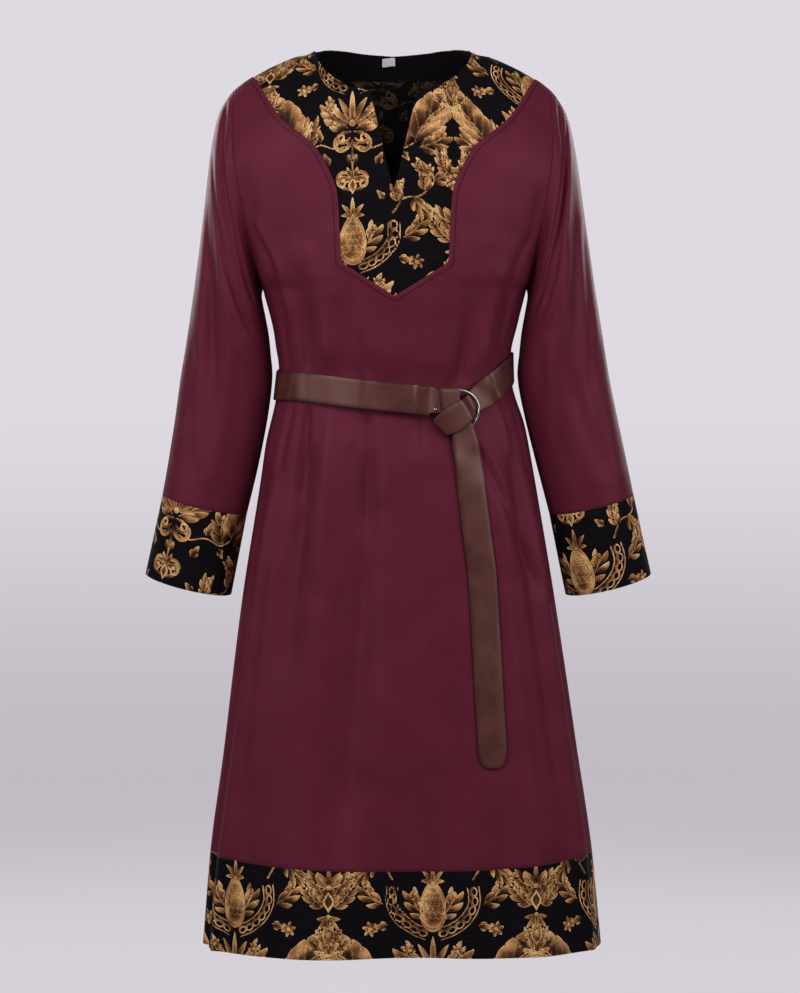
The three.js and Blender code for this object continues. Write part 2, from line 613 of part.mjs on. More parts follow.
// The knot's stretches of strap. Each row is x, z, depth, the angle of its width, and its half width.
const RING = { x: 77.7, z: -468.4, radius: 24.5, wire: 1.7, depth: 7.7, turn: -0.095 };
const TONGUE = [
  [36, -463, 2, 90, 8],
  [51, -465.5, 2, 90, 8],
  [56.4, -466, 2.2, 90, 8],
  [59, -466.4, 3.3, 90, 8],
  [59.7, -466.5, 5, 90, 8],
  [59, -466.4, 7.3, 90, 8],
  [56, -465.5, 8.9, 90, 9],
  [50, -462, 8.9, 90, 13],
  [45, -459, 8.3, 88, 17.5],
  [37, -457.6, 6.6, 86, 18.5],
  [24, -456.6, 4.6, 85, 18.5],
];
const LOOP = [
  [113, -445, -4, 125, 17.8],
  [105, -451, 1.6, 124, 16.8],
  [98, -457, 4.9, 123, 15],
  [91.5, -462.6, 7.6, 122, 12.8],
  [86, -467.4, 14.8, 120, 14],
  [80, -473.2, 16, 119, 16.5],
  [73, -478.5, 16.2, 120, 17.4],
  [66, -482.6, 16, 123, 17.3],
  [58.6, -487.3, 14.8, 128, 15],
  [53.6, -490.9, 11.6, 133, 13.6],
  [52, -492, 7.6, 135, 13],
  [53, -491.2, 4.2, 135, 13],
  [56, -489, 2.4, 135, 12.6],
];
const TAIL = [
  [65.3, -451, 2.4, 0, 13.4],
  [65.3, -444.6, 2.5, 0, 13.4],
  [65.3, -441.3, 3.8, 0, 13.4],
  [65.3, -440.1, 7, 0, 13.4],
  [65.3, -441.3, 10.2, 0, 13.4],
  [65.3, -444.6, 11.5, 0, 13.4],
  [65.2, -455, 11.8, 2, 12.5],
  [68, -467, 12, 3, 13.4],
  [75, -482, 12.3, 5, 14],
  [81.2, -495, 12.2, 6, 14.6],
];
// Below the knot the tail lies on the skirt: x, z, the angle of its width, and its half width.
const HANGING = [
  [84.6, -512, 7, 17],
  [88, -532, 7.5, 18.3],
  [91.5, -565, 8, 18.5],
  [96, -602, 8, 18.5],
  [101, -640, 8, 18.5],
  [105.5, -675, 7, 18.5],
  [109.3, -735, 4, 18.5],
  [112.7, -800, 3.4, 18.5],
  [116, -860, 3.4, 18.5],
  [118.4, -902, 3.4, 18.5],
  [119, -913, 3.4, 17.3],
  [119.3, -920, 3.4, 14],
  [119.5, -925, 3.4, 8],
];

function hangingSection([x, z, angle, half]) {
  const across = [-1, -0.5, 0, 0.5, 1].map((t) => clothAt(x + t * half, z));
  const slope = (across[4].y - across[0].y) / (2 * half);
  const plane = Math.min(...across.map((p, i) => p.y - slope * (p.x - x)));
  const a = radians(angle);
  return {
    middle: new THREE.Vector3(x, plane - BELT.clear - BELT.thick / 2, z),
    width: new THREE.Vector3(Math.cos(a), slope * Math.cos(a), Math.sin(a)),
    half,
  };
}

const WAIST_START = 5;
const WAIST_END = -309;
function beltStrap() {
  const turns = steps(40).map((t) => mix(WAIST_START, WAIST_END, t));
  const round = turns.map((turn, i) => waistSection(turn, Math.max(2.4 * (1 - i / 6), 0)));
  return strip([...TONGUE.map(knotSection), ...round, ...LOOP.map(knotSection)]);
}
const beltTail = () => strip([...TAIL.map(knotSection), ...HANGING.map(hangingSection)]);

function beltRing() {
  const geometry = new THREE.TorusGeometry(RING.radius, RING.wire, 8, 32);
  const { middle } = knotSection([RING.x, RING.z, RING.depth, 0, 0]);
  geometry.rotateX(Math.PI / 2).rotateZ(Math.atan(KNOT_PLANE.slope) + RING.turn);
  return solidOfGeometry(geometry.translate(middle.x, middle.y, middle.z));
}
function beltRivet() {
  const profile = [[0, 0], [2.2, 0], [2, 0.8], [1.2, 1.4], [0, 1.6]].map(([r, h]) => new THREE.Vector2(r, h));
  const geometry = new THREE.LatheGeometry(profile, 12);
  const { middle } = knotSection([46.6, -468.5, 10.5, 0, 0]);
  return solidOfGeometry(geometry.rotateX(Math.PI).translate(middle.x, middle.y, middle.z));
}

// ---------------------------------------------------------------- the object
function meshOf(name, solid, finish) {
  const { vertProperties, triVerts, numProp, numVert } = solid.getMesh();
  const position = new Float32Array(numVert * 3);
  for (let i = 0; i < numVert; i += 1) position.set(vertProperties.subarray(i * numProp, i * numProp + 3), i * 3);
  const geometry = new THREE.BufferGeometry();
  geometry.setAttribute("position", new THREE.BufferAttribute(position, 3));
  geometry.setIndex(new THREE.BufferAttribute(new Uint32Array(triVerts), 1));
  const [color, roughness, metalness] = COLOURS[finish];
  const mesh = new THREE.Mesh(geometry, new THREE.MeshStandardMaterial({ color, roughness, metalness }));
  mesh.name = name;
  return mesh;
}

const kaftan = new THREE.Group();
kaftan.add(
  meshOf("front_panel", frontPanel, "satin"),
  meshOf("back_panel", backPanel, "satin"),
  meshOf("front_yoke", frontYoke, "brocade"),
  meshOf("back_yoke", backYoke, "brocade"),
  meshOf("neck_facing", neckFacing(), "brocade"),
  meshOf("neck_label", neckLabel(), "label"),
  meshOf("hem_band_front", hemBand("front", FRONT_COLUMNS), "brocade"),
  meshOf("hem_band_back", hemBand("back", BACK_COLUMNS), "brocade"),
  meshOf("sleeve_left", sleeve(1), "satin"),
  meshOf("sleeve_right", sleeve(-1), "satin"),
  meshOf("cuff_left", cuff(1), "brocade"),
  meshOf("cuff_right", cuff(-1), "brocade"),
  meshOf("belt_strap", beltStrap(), "leather"),
  meshOf("belt_tail", beltTail(), "leather"),
  meshOf("belt_ring", beltRing(), "metal"),
  meshOf("belt_rivet", beltRivet(), "metal"),
);

export default kaftan;
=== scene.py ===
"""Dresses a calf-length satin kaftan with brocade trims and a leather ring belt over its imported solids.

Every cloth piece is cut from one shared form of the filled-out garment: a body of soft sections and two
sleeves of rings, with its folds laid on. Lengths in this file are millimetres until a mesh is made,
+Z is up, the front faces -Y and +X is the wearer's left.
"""

from __future__ import annotations

import logging
import math
from collections.abc import Callable, Sequence
from dataclasses import dataclass
from enum import Enum

import bpy
import numpy as np
from bpy.types import Material, Node, NodeSocket, NodeTree, Object
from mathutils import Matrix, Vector
from mathutils.geometry import delaunay_2d_cdt
from numpy.linalg import norm

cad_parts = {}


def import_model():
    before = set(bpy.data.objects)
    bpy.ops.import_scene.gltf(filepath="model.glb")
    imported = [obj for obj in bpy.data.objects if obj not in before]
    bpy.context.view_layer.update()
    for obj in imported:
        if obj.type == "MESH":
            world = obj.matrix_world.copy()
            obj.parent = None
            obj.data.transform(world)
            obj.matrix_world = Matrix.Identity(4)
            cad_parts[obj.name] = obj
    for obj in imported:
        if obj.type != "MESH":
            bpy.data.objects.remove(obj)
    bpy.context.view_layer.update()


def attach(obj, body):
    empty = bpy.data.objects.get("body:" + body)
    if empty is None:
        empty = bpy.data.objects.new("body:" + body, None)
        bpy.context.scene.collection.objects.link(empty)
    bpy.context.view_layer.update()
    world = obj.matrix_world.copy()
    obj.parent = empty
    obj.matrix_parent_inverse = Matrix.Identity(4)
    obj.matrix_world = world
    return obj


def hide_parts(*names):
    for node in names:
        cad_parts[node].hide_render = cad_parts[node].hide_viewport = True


Array = np.ndarray
Pair = tuple[float, float]
Triple = tuple[float, float, float]
Colour = tuple[float, float, float, float]
Rows = Sequence[Sequence[float]]
Measure = Callable[[Array], Array]  # gives a number at each of many places

LOG = logging.getLogger("kaftan")
MM = 0.001
BODY_NAME = "root"

HEM = -1154.0
BAND_TOP = -1047.0
UNDERARM = -309.0
SEAM = 0.3
SHOULDER_ROUNDING = 140.0
ARMHOLE_DEPTH = 66.0


class Face(Enum):
    """The two halves of the body, front and back of the side seams."""

    FRONT = -1.0
    BACK = 1.0


class Side(Enum):
    """The wearer's left and right."""

    LEFT = 1.0
    RIGHT = -1.0


# ---- small sums
def smooth(t: Array) -> Array:
    """Ease a share of 0 to 1 in and out, held at its ends."""
    t = np.clip(t, 0.0, 1.0)
    return t * t * (3.0 - 2.0 * t)


def unit(v: Array) -> Array:
    """Vectors of length one."""
    return v / np.maximum(norm(v, axis=-1, keepdims=True), 1e-9)


def colour(red: float, green: float, blue: float) -> Colour:
    """A linear colour from sRGB values of 0 to 255."""
    parts = [c / 255.0 for c in (red, green, blue)]
    linear = [c / 12.92 if c <= 0.04045 else ((c + 0.055) / 1.055) ** 2.4 for c in parts]
    return (linear[0], linear[1], linear[2], 1.0)


def between(ends: Pair, share: Array) -> Array:
    """A share of the way from one number to another."""
    return ends[0] + (ends[1] - ends[0]) * share


def run_along(points: Array) -> Array:
    """The distance along a line from its first point to each."""
    return np.concatenate([[0.0], np.cumsum(norm(np.diff(points, axis=0), axis=1))])


def band_faces(rows: int, columns: int, ring: bool = False) -> Array:
    """Triangles between closed rows of points, each row to the next, and the last to the first in a ring."""
    i, j = np.meshgrid(np.arange(rows if ring else rows - 1), np.arange(columns), indexing="ij")
    a, b = i * columns + j, i * columns + (j + 1) % columns
    c, d = (i + 1) % rows * columns + j, (i + 1) % rows * columns + (j + 1) % columns
    return np.concatenate([np.stack([a, c, d], -1).reshape(-1, 3), np.stack([a, d, b], -1).reshape(-1, 3)])


def with_area(points: Array, tri: Array) -> Array:
    """The triangles that aren't shrunk to a line, as they are where a row of points meets in a pole."""
    a, b, c = (points[tri[:, k]] for k in range(3))
    return tri[norm(np.cross(b - a, c - a), axis=1) > 1e-6]


class Curve:
    """A smooth line through the rows of a table (Catmull-Rom, ends held)."""

    def __init__(self, keys: Sequence[float], values: Sequence[float]) -> None:
        """Keep the rows and the slope at each.

        Args:
            keys: Where the rows stand, rising.
            values: The value at each.
        """
        self.keys = np.asarray(keys, float)
        self.values = np.asarray(values, float)
        count = len(self.keys)
        high = np.minimum(np.arange(count) + 1, count - 1)
        low = np.maximum(np.arange(count) - 1, 0)
        self.slopes = (self.values[high] - self.values[low]) / (self.keys[high] - self.keys[low])

    def __call__(self, at: Array) -> Array:
        """The value at each key."""
        at = np.asarray(at, float)
        i = np.clip(np.searchsorted(self.keys, at, side="right") - 1, 0, len(self.keys) - 2)
        span = self.keys[i + 1] - self.keys[i]
        t = np.clip((at - self.keys[i]) / span, 0.0, 1.0)
        p, q = self.values[i], self.values[i + 1]
        m, n = self.slopes[i] * span, self.slopes[i + 1] * span
        ahead = 3 * t**2 - 2 * t**3
        return (1 - ahead) * p + (t**3 - 2 * t**2 + t) * m + ahead * q + (t**3 - t**2) * n


def spline(points: Rows, count: int, places: int = 2) -> Array:
    """Points spread evenly along a smooth line through a few.

    Args:
        points: The few, each with any number of coordinates.
        count: How many to return.
        places: How many of the coordinates are lengths to measure along.

    Returns:
        An array with a row for each point.
    """
    rows = np.asarray(points, float)
    steps = norm(np.diff(rows[:, :places], axis=0), axis=1)
    keys = np.concatenate([[0.0], np.cumsum(np.maximum(steps, 1e-6))])
    at = np.linspace(0.0, keys[-1], count)
    return np.stack([Curve(keys, rows[:, c])(at) for c in range(rows.shape[1])], axis=1)


# ---- the form
@dataclass(frozen=True)
class Fold:
    """A soft ridge or trough, each pair being a number at its two ends.

    Its turn is in degrees. On the body it lies between two levels, upper first, and on a sleeve between
    two ring numbers.
    """

    turn: Pair
    level: Pair
    half: Pair
    rise: Pair

    def lift(self, turn: Array, level: Array, radius: Array) -> Array:
        """How far it lifts the body's cloth.

        Args:
            turn: Degrees from the middle of the front or back.
            level: Heights.
            radius: The body's radius there, which makes degrees a length.

        Returns:
            The lift in mm.
        """
        bottom = HEM - 200.0 if self.level[1] == HEM else self.level[1]
        along = (level - self.level[0]) / (bottom - self.level[0])
        share = np.clip((level - self.level[0]) / (self.level[1] - self.level[0]), 0.0, 1.0)
        away = np.radians(turn - between(self.turn, share)) * radius
        return self.height(along) * np.exp(-((away / between(self.half, share)) ** 2))

    def lift_round(self, turn: Array, ring: Array) -> Array:
        """How far it lifts a sleeve's cloth at degrees round its rings."""
        along = (ring - self.level[0]) / (self.level[1] - self.level[0])
        share = np.clip(along, 0.0, 1.0)
        away = (turn - between(self.turn, share) + 180.0) % 360.0 - 180.0
        return self.height(along) * np.exp(-((away / between(self.half, share)) ** 2))

    def height(self, along: Array) -> Array:
        """The fold's height at a share of its length, nothing at both ends."""
        ends = smooth(along / 0.16) * smooth((1.0 - along) / 0.22)
        return between(self.rise, np.clip(along, 0.0, 1.0)) * ends


def folds(rows: Rows) -> tuple[Fold, ...]:
    """Folds from rows of turn, level or ring, half width and rise, two of each."""
    return tuple(Fold((r[0], r[1]), (r[2], r[3]), (r[4], r[5]), (r[6], r[7])) for r in rows)


MAIN_FOLDS = {
    Face.FRONT: folds((
        (-8, -17, -478, -1100, 11, 24, -9, -11), (-23, -27, -485, -900, 15, 26, 6, 3),
        (-37, -42, -482, -860, 10, 20, -7, -4), (-58, -64, -490, HEM, 14, 13, 7, 8),
        (-72, -77, -520, HEM, 10, 12, -6, -8), (-19, -21, -960, HEM, 40, 58, 0, 15),
        (1, 2, -880, HEM, 36, 46, -2, -36), (24, 27, -560, HEM, 24, 44, -5, -3),
        (43, 38, -480, HEM, 12, 30, 6, 5), (54, 56, -478, -1000, 9, 16, -6, -5),
        (66, 66, -490, HEM, 11, 18, 5, 6), (-44, -40, -270, -435, 16, 10, -2, -8),
        (-31, -29, -250, -440, 20, 10, 4, 5), (-20, -17, -330, -445, 12, 7, 0, -5),
        (36, 30, -250, -440, 18, 9, -2, -7), (48, 43, -280, -440, 14, 9, 2, 5),
        (58, 60, -170, -420, 12, 9, -3, -4), (-56, -62, -150, -400, 14, 9, -3, -4),
    )),
    Face.BACK: folds((
        (6, 9, -420, -1120, 12, 26, -9, -10), (-13, -15, -420, -980, 14, 28, 6, 5),
        (-33, -34, -425, HEM, 11, 22, -8, -8), (28, 31, -425, HEM, 14, 26, 7, 8),
        (47, 50, -430, -1040, 10, 18, -7, -6), (-56, -58, -430, HEM, 13, 20, 6, 8),
        (66, 68, -440, HEM, 12, 18, 6, 7), (-70, -73, -440, HEM, 11, 16, -6, -6),
        (-22, -20, -230, -375, 16, 10, -2, -7), (18, 15, -210, -370, 17, 10, -2, -6),
        (40, 36, -220, -380, 14, 10, 2, 5), (-44, -40, -220, -380, 15, 10, 2, 5),
    )),
}


FINE_FOLDS = {
    Face.FRONT: folds((
        # short pleats out from under the belt, first above it and then below
        (-48, -43, -322, -452, 7, 5, 0, -8.1), (-38, -36, -360, -450, 5, 4, 0, 2.7),
        (-26, -22, -340, -450, 7, 5, 0, -4.7), (-11, -10, -352, -456, 6, 5, 0, -6.8),
        (5, 8, -372, -456, 5, 4, 0, -3.4), (42, 29, -290, -456, 9, 5, 0, -7.4),
        (76, 62, -290, -440, 8, 6, 0, -5.4), (-67, -61, -300, -440, 7, 5, 0, -5.4),
        (-42.5, -39, -440, -590, 5, 11, -8.1, -4.1), (-54, -56, -440, -560, 4, 8, -4.7, -2.7),
        (-27, -28, -452, -700, 7, 15, 2.7, 5.4), (-9.5, -10.5, -452, -640, 4.5, 9, -8.8, -4.1),
        (-2, -5, -460, -600, 5, 9, 1.4, 4.1), (8, 7, -462, -540, 4, 7, -5.4, -2.7),
        (71, 69, -430, -560, 4, 8, -5.4, -4.1), (52, 54, -440, -540, 4, 8, 2.7, 2.7),
        # long soft ones down the skirt
        (-66, -72, -560, -900, 8, 14, -4.1, -5.4), (-50, -52, -620, -960, 9, 16, 4.1, 4.1),
        (-37, -36, -580, -820, 8, 14, -4.1, -2.7), (-9.5, -12, -640, -1000, 7, 14, -5.4, -4.1),
        (31, 65, -500, -720, 6, 13, -6.8, -4.1), (37, 52, -512, -640, 5, 9, 4.1, 2.7),
        (28, 33, -520, -800, 5, 12, -5.4, -2.7), (42, 46, -640, -980, 9, 17, -3.4, -2.7),
        (77, 78, -560, -960, 7, 11, -5.4, -5.4), (-83, -84, -520, -1000, 4, 6, -4.1, -4.1),
        (-19, -21, -230, -345, 14, 12, 2.7, 4.1), (-55, -52, -215, -365, 10, 9, 4.1, 4.1),
        (24, 20, -345, -450, 6, 4, 0, 4.1), (34, 27, -330, -450, 5, 4, 0, -4.7),
    )),
    Face.BACK: folds((
        (-52, -46, -300, -410, 8, 5, -2.7, -8.1), (-36, -33, -320, -410, 6, 5, 1.4, 2.7),
        (-24, -19, -290, -410, 8, 5, -2, -6.8), (-8, -6, -310, -408, 6, 5, -1.4, -5.4),
        (9, 8, -300, -408, 7, 5, -1.4, -6.1), (30, 24, -280, -410, 8, 5, -2, -6.8),
        (55, 47, -290, -415, 8, 6, -2.7, -6.8), (71, 63, -300, -420, 7, 5, -2.7, -5.4),
        (-45, -43, -400, -560, 5, 10, -8.1, -4.1), (-24, -25, -400, -640, 6, 13, 2.7, 5.4),
        (-7, -8, -400, -600, 5, 10, -7.4, -4.1), (16, 17, -400, -580, 5, 10, -6.1, -4.1),
        (38, 40, -405, -640, 6, 12, 2.7, 5.4), (59, 62, -410, -600, 5, 9, -6.8, -4.1),
        (-65, -68, -520, -880, 8, 13, -4.1, -5.4), (-40, -46, -600, -960, 8, 15, -4.1, -4.1),
        (24, 20, -560, -900, 8, 14, -5.4, -4.1), (40, 44, -640, -1000, 9, 16, 4.1, 4.1),
        (78, 79, -540, -960, 7, 11, -5.4, -5.4), (-4, -2, -640, -960, 9, 16, 4.1, 2.7),
    )),
}


class BodyForm:
    """The filled-out body from hem to shoulder seam, front and back."""

    SECTIONS = (
        # level, half width, depth in front, depth behind, x of the centre line
        (HEM, 258, 158, 152, 4.5), (-1040, 246.5, 149, 144, 3.5), (-920, 231, 138, 136, 2.8),
        (-712, 203, 123, 122, 0), (-560, 178.5, 114, 113, -0.8), (-485, 166.5, 109, 108, -2.5),
        (-425, 155, 106, 104, -4.5), (-370, 156.5, 109, 103, -4.5), (UNDERARM, 171, 114, 106, -5),
        (-242, 187, 113, 104, -5.5), (-125, 203, 100, 95, -7), (-60, 205, 90, 88, -8),
        (0, 205, 82, 82, -8),
    )
    RIDGE = ((0, 62), (40, 54), (75, 32), (104, 0), (128, -7), (164, -23), (191, -39), (205, -50))
    BELT_LINE = (
        # degrees from centre front, level of the belt's middle
        (-130, -415), (-90, -433), (-45, -439), (-9, -450), (12, -457),
        (32, -457), (50, -440), (69, -420.5), (90, -409), (180, -398),
        (230, -415),
    )
    POWER = 2.0 / 2.4

    def __init__(self, extra: dict[Face, tuple[Fold, ...]] | None = None) -> None:
        """Read the tables.

        Args:
            extra: Finer folds laid over the main ones.
        """
        rows = np.array(self.SECTIONS)
        self.half = Curve(rows[:, 0], rows[:, 1])
        self.depth = {Face.FRONT: Curve(rows[:, 0], rows[:, 2]), Face.BACK: Curve(rows[:, 0], rows[:, 3])}
        self.lean = Curve(rows[:, 0], rows[:, 4])
        self.ridge = Curve(*np.array(self.RIDGE).T)
        self.belt_line = Curve(*np.array(self.BELT_LINE).T)
        self.extra = extra or {Face.FRONT: (), Face.BACK: ()}

    def belt_level(self, face: Face, turn: Array) -> Array:
        """The level of the belt's middle at degrees across the front or back."""
        if face is Face.FRONT:
            return self.belt_line(turn)
        return self.belt_line(np.where(np.asarray(turn) < -50, -180.0, 180.0) - turn)

    def point(self, face: Face, s: Array, level: Array, folded: bool = True) -> Array:
        """Points of the cloth's outer surface.

        Args:
            face: Front or back.
            s: From -1 at the right side seam to 1 at the left.
            level: Height before the shoulder's slope is added, 0 at the shoulder seam.
            folded: Whether the folds are on it.

        Returns:
            Points in mm.
        """
        s, level = np.broadcast_arrays(np.asarray(s, float), np.asarray(level, float))
        edge = 90.0 - 26.0 * smooth((level - UNDERARM) / 80.0)
        turn = np.radians(edge * s)
        edge_rad = np.radians(edge)
        edge_cos = np.where(edge < 90.0, np.maximum(np.cos(edge_rad), 0.0) ** self.POWER, 0.0)
        half = self.half(level)
        sine = np.sign(turn) * np.abs(np.sin(turn)) ** self.POWER
        cosine = np.maximum(np.cos(turn), 0.0) ** self.POWER
        across = half * sine / np.sin(edge_rad) ** self.POWER
        closing = np.clip(1.0 + level / SHOULDER_ROUNDING, 0.0, 1.0)
        rounding = np.sqrt(np.maximum(1.0 - closing**2, 0.0))
        middle = UNDERARM / 2.0
        on_ring = np.clip((level - middle) / middle, -1.0, 1.0)
        edge_depth = np.where(level > UNDERARM, ARMHOLE_DEPTH * np.sqrt(1.0 - on_ring**2), 0.0)
        full = np.maximum(self.depth[face](level) * rounding, edge_depth)
        depth = edge_depth + (full - edge_depth) * (cosine - edge_cos) / (1.0 - edge_cos)
        slope = 1.0 - smooth((-20.0 - level) / 240.0)
        near = np.where(level < BAND_TOP, (level - HEM) / (BAND_TOP - HEM), 1.0 - (level - BAND_TOP) / 160.0)
        bow = 12.0 * np.sin(turn) ** 2 * smooth(near)
        z = level + self.ridge(np.abs(across)) * slope + bow
        out_x, out_y = np.sin(turn) / half, np.cos(turn) / np.maximum(full, 1.0)
        size = np.hypot(out_x, out_y)
        degrees = np.degrees(turn)
        to_belt = z - self.belt_level(face, degrees)
        grip = np.exp(-((to_belt / np.where(to_belt > 0, 40.0, 60.0)) ** 4))
        lift = -(4.0 + 5.0 * np.cos(turn) ** 2) * grip
        if folded:
            radius = (half + full) / 2.0
            broad = sum(f.lift(degrees, z, radius) for f in MAIN_FOLDS[face])
            fine = sum(f.lift(degrees, z, radius) for f in self.extra[face])
            nipped = np.exp(-((to_belt / 29.0) ** 4))
            held = smooth(-level / 60.0) * smooth((1.0 - np.abs(s)) / 0.05)
            lift = lift + (broad * (1.0 - 0.9 * grip) + fine * (1.0 - nipped)) * held
        x = across + out_x / size * lift + self.lean(level)
        y = face.value * (np.maximum(depth + out_y / size * lift, 0.0) + SEAM / 2.0)
        return np.stack([x, y, z], axis=-1)

    def surface(self, face: Face, s: Array, level: Array) -> tuple[Array, Array]:
        """Points of the outer surface and the directions out of it, flat across the seams."""
        point = self.point(face, s, level)
        low, high = np.clip(s - 0.004, -1, 1), np.clip(s + 0.004, -1, 1)
        along = self.point(face, high, level) - self.point(face, low, level)
        up = self.point(face, s, np.minimum(level + 1.0, 0.0)) - self.point(face, s, level - 1.0)
        normal = np.cross(along, up) * -face.value
        seam = np.abs(point[..., 1]) < SEAM
        normal[seam, 1] = 0.0
        return point, unit(normal)

    def find(self, face: Face, x: Array, z: Array) -> tuple[Array, Array]:
        """The place on the front or back that is seen at x and z.

        Args:
            face: Front or back.
            x: Distances to the left.
            z: Heights.

        Returns:
            Values for s and level.
        """
        x, z = np.broadcast_arrays(np.asarray(x, float), np.asarray(z, float))
        s, level = np.clip(x / 260.0, -0.98, 0.98), np.minimum(z, -1.0)
        for _ in range(60):
            now = self.point(face, s, level)
            s = np.clip(s + 0.6 * (x - now[..., 0]) / 240.0, -1.0, 1.0)
            level = np.minimum(level + 0.6 * (z - now[..., 2]), 0.0)
        return s, level


class SleeveForm:
    """A sleeve and its cuff as rings from the armhole down."""

    RINGS = (
        # outer x and z, inner x and z, depth in front, depth behind
        (205, -50, 172.6, -309, 66, 66), (214.5, -62, 173.4, -312, 67, 66),
        (227, -86, 173.6, -317, 69, 68), (237, -132, 172.4, -325, 71, 70),
        (246.5, -205, 168.6, -343, 71, 71), (256, -276, 164.4, -366, 68, 69),
        (266, -345, 161.4, -394, 64, 65), (276, -408, 159.4, -424, 61, 62),
        (286, -468, 166, -470, 58, 59), (297, -528, 180, -534, 54, 55),
        (306, -575, 196.5, -600, 50, 51),
    )
    CUFF = (
        (306, -575, 196.5, -600, 50, 51),
        (317, -626, 206.6, -652, 49, 49),
        (328.3, -677, 217, -704, 48, 47),
    )
    FOLDS = folds((
        (24, 118, 0.6, 5.2, 11, 13, -4, -8), (50, 140, 1.4, 4.6, 10, 11, -3, -7),
        (46, 84, 3.2, 8.6, 12, 15, -5, -6), (74, 128, 4, 9, 12, 13, 4, 5),
        (30, 66, 6.2, 9.6, 12, 15, -3, -5), (-30, -124, 1, 5.6, 11, 14, -3, -8),
        (-58, -96, 3.8, 8.8, 13, 15, -5, -6), (-110, -64, 6.4, 9.7, 12, 14, 4, 4),
    ))
    DROP = 7.0
    GAP = 0.4

    def __init__(self, body: BodyForm, side: Side, extra: tuple[Fold, ...] = ()) -> None:
        """Read the tables.

        Args:
            body: The body that the sleeve leaves.
            side: The wearer's left or right.
            extra: Finer folds laid over the main ones.
        """
        self.body, self.side, self.extra = body, side, extra
        numbers = np.arange(len(self.RINGS))
        self.sleeve = [Curve(numbers, column) for column in np.array(self.RINGS, float).T]
        self.cuff = [Curve(np.arange(len(self.CUFF)), column) for column in np.array(self.CUFF, float).T]

    def ring_point(self, ring: Array, turn: Array, cuff: bool, folded: bool) -> Array:
        """Points of the outer surface, before the top is joined to the armhole.

        Args:
            ring: Ring numbers.
            turn: Degrees round from the outer end over the front.
            cuff: Whether the rings are the cuff's.
            folded: Whether the folds are on it.

        Returns:
            Points in mm.
        """
        ox, oz, ix, iz, front, back = (c(ring) for c in (self.cuff if cuff else self.sleeve))
        a = np.radians(turn)
        reach_x, reach_z = (ox - ix) / 2.0, (oz - iz) / 2.0
        depth = np.where(np.sin(a) >= 0, front, back)
        x = (ox + ix) / 2.0 + reach_x * np.cos(a)
        z = (oz + iz) / 2.0 + reach_z * np.cos(a)
        y = -np.sin(a) * depth
        if folded:
            size = np.hypot(reach_x, reach_z)
            lift = np.zeros_like(x)
            for f in self.FOLDS + self.extra:
                lift += f.lift_round(turn, ring)
            inner = np.where(a > math.pi, a - 2.0 * math.pi, a)
            lift *= 1.0 - smooth((np.abs(inner) - 2.3) / 0.6)
            x = x + reach_x / size * np.cos(a) * lift
            z = z + reach_z / size * np.cos(a) * lift
            y = y - np.sin(a) * lift
        z = z - self.DROP * np.sin(a) * (1.0 if cuff else np.clip((ring - 3.0) / 5.0, 0.0, 1.0))
        return np.stack([self.side.value * x + self.body.lean(z), y, z], axis=-1)

    def armhole(self, turn: Array) -> tuple[Array, Array]:
        """The body's edge at the armhole, and the directions out of the cloth there.

        Args:
            turn: Degrees round the ring, in one dimension.

        Returns:
            Points and unit vectors.
        """
        level = UNDERARM / 2.0 * (1.0 - np.cos(np.radians(turn)))
        front = np.sin(np.radians(turn)) >= 0
        side = self.side.value

        def edge(s: float, at: Array) -> Array:
            """The body's points beside the armhole, at a share of its width."""
            at = np.minimum(at, 0.0)
            both = [self.body.point(face, s * side, at, folded=False) for face in (Face.FRONT, Face.BACK)]
            return np.where(front[:, None], both[0], both[1])

        point = edge(1.0, level)
        normal = unit(np.cross(edge(1.0, level + 1.0) - edge(1.0, level - 1.0), point - edge(0.97, level)))
        out = np.stack([np.full(len(level), side), point[:, 1] / ARMHOLE_DEPTH, np.zeros(len(level))],
                       axis=1)
        normal *= np.sign(np.sum(normal * out, axis=1))[:, None]
        return point, normal

    def point(self, ring: Array, turn: Array) -> Array:
        """Points of the sleeve's outer surface, joined to the armhole.

        Args:
            ring: Ring numbers, one for each row of a grid.
            turn: Degrees, one for each column of a grid.

        Returns:
            A grid of points.
        """
        rings, turns = np.meshgrid(ring, turn % 360.0, indexing="ij")
        start = self.armhole(turn % 360.0)[0] - self.ring_point(np.zeros(len(turn)), turn % 360.0, False,
                                                                False)
        points = self.ring_point(rings, turns, False, True)
        plain = self.ring_point(rings, turns, False, False)
        points = plain + (points - plain) * smooth(rings / 0.5)[..., None]
        points += start[None] * (1.0 - smooth(rings / 4.5))[..., None]
        points[..., 0] += self.side.value * self.GAP * np.clip(1.0 - rings / 3.0, 0.0, 1.0)
        return points


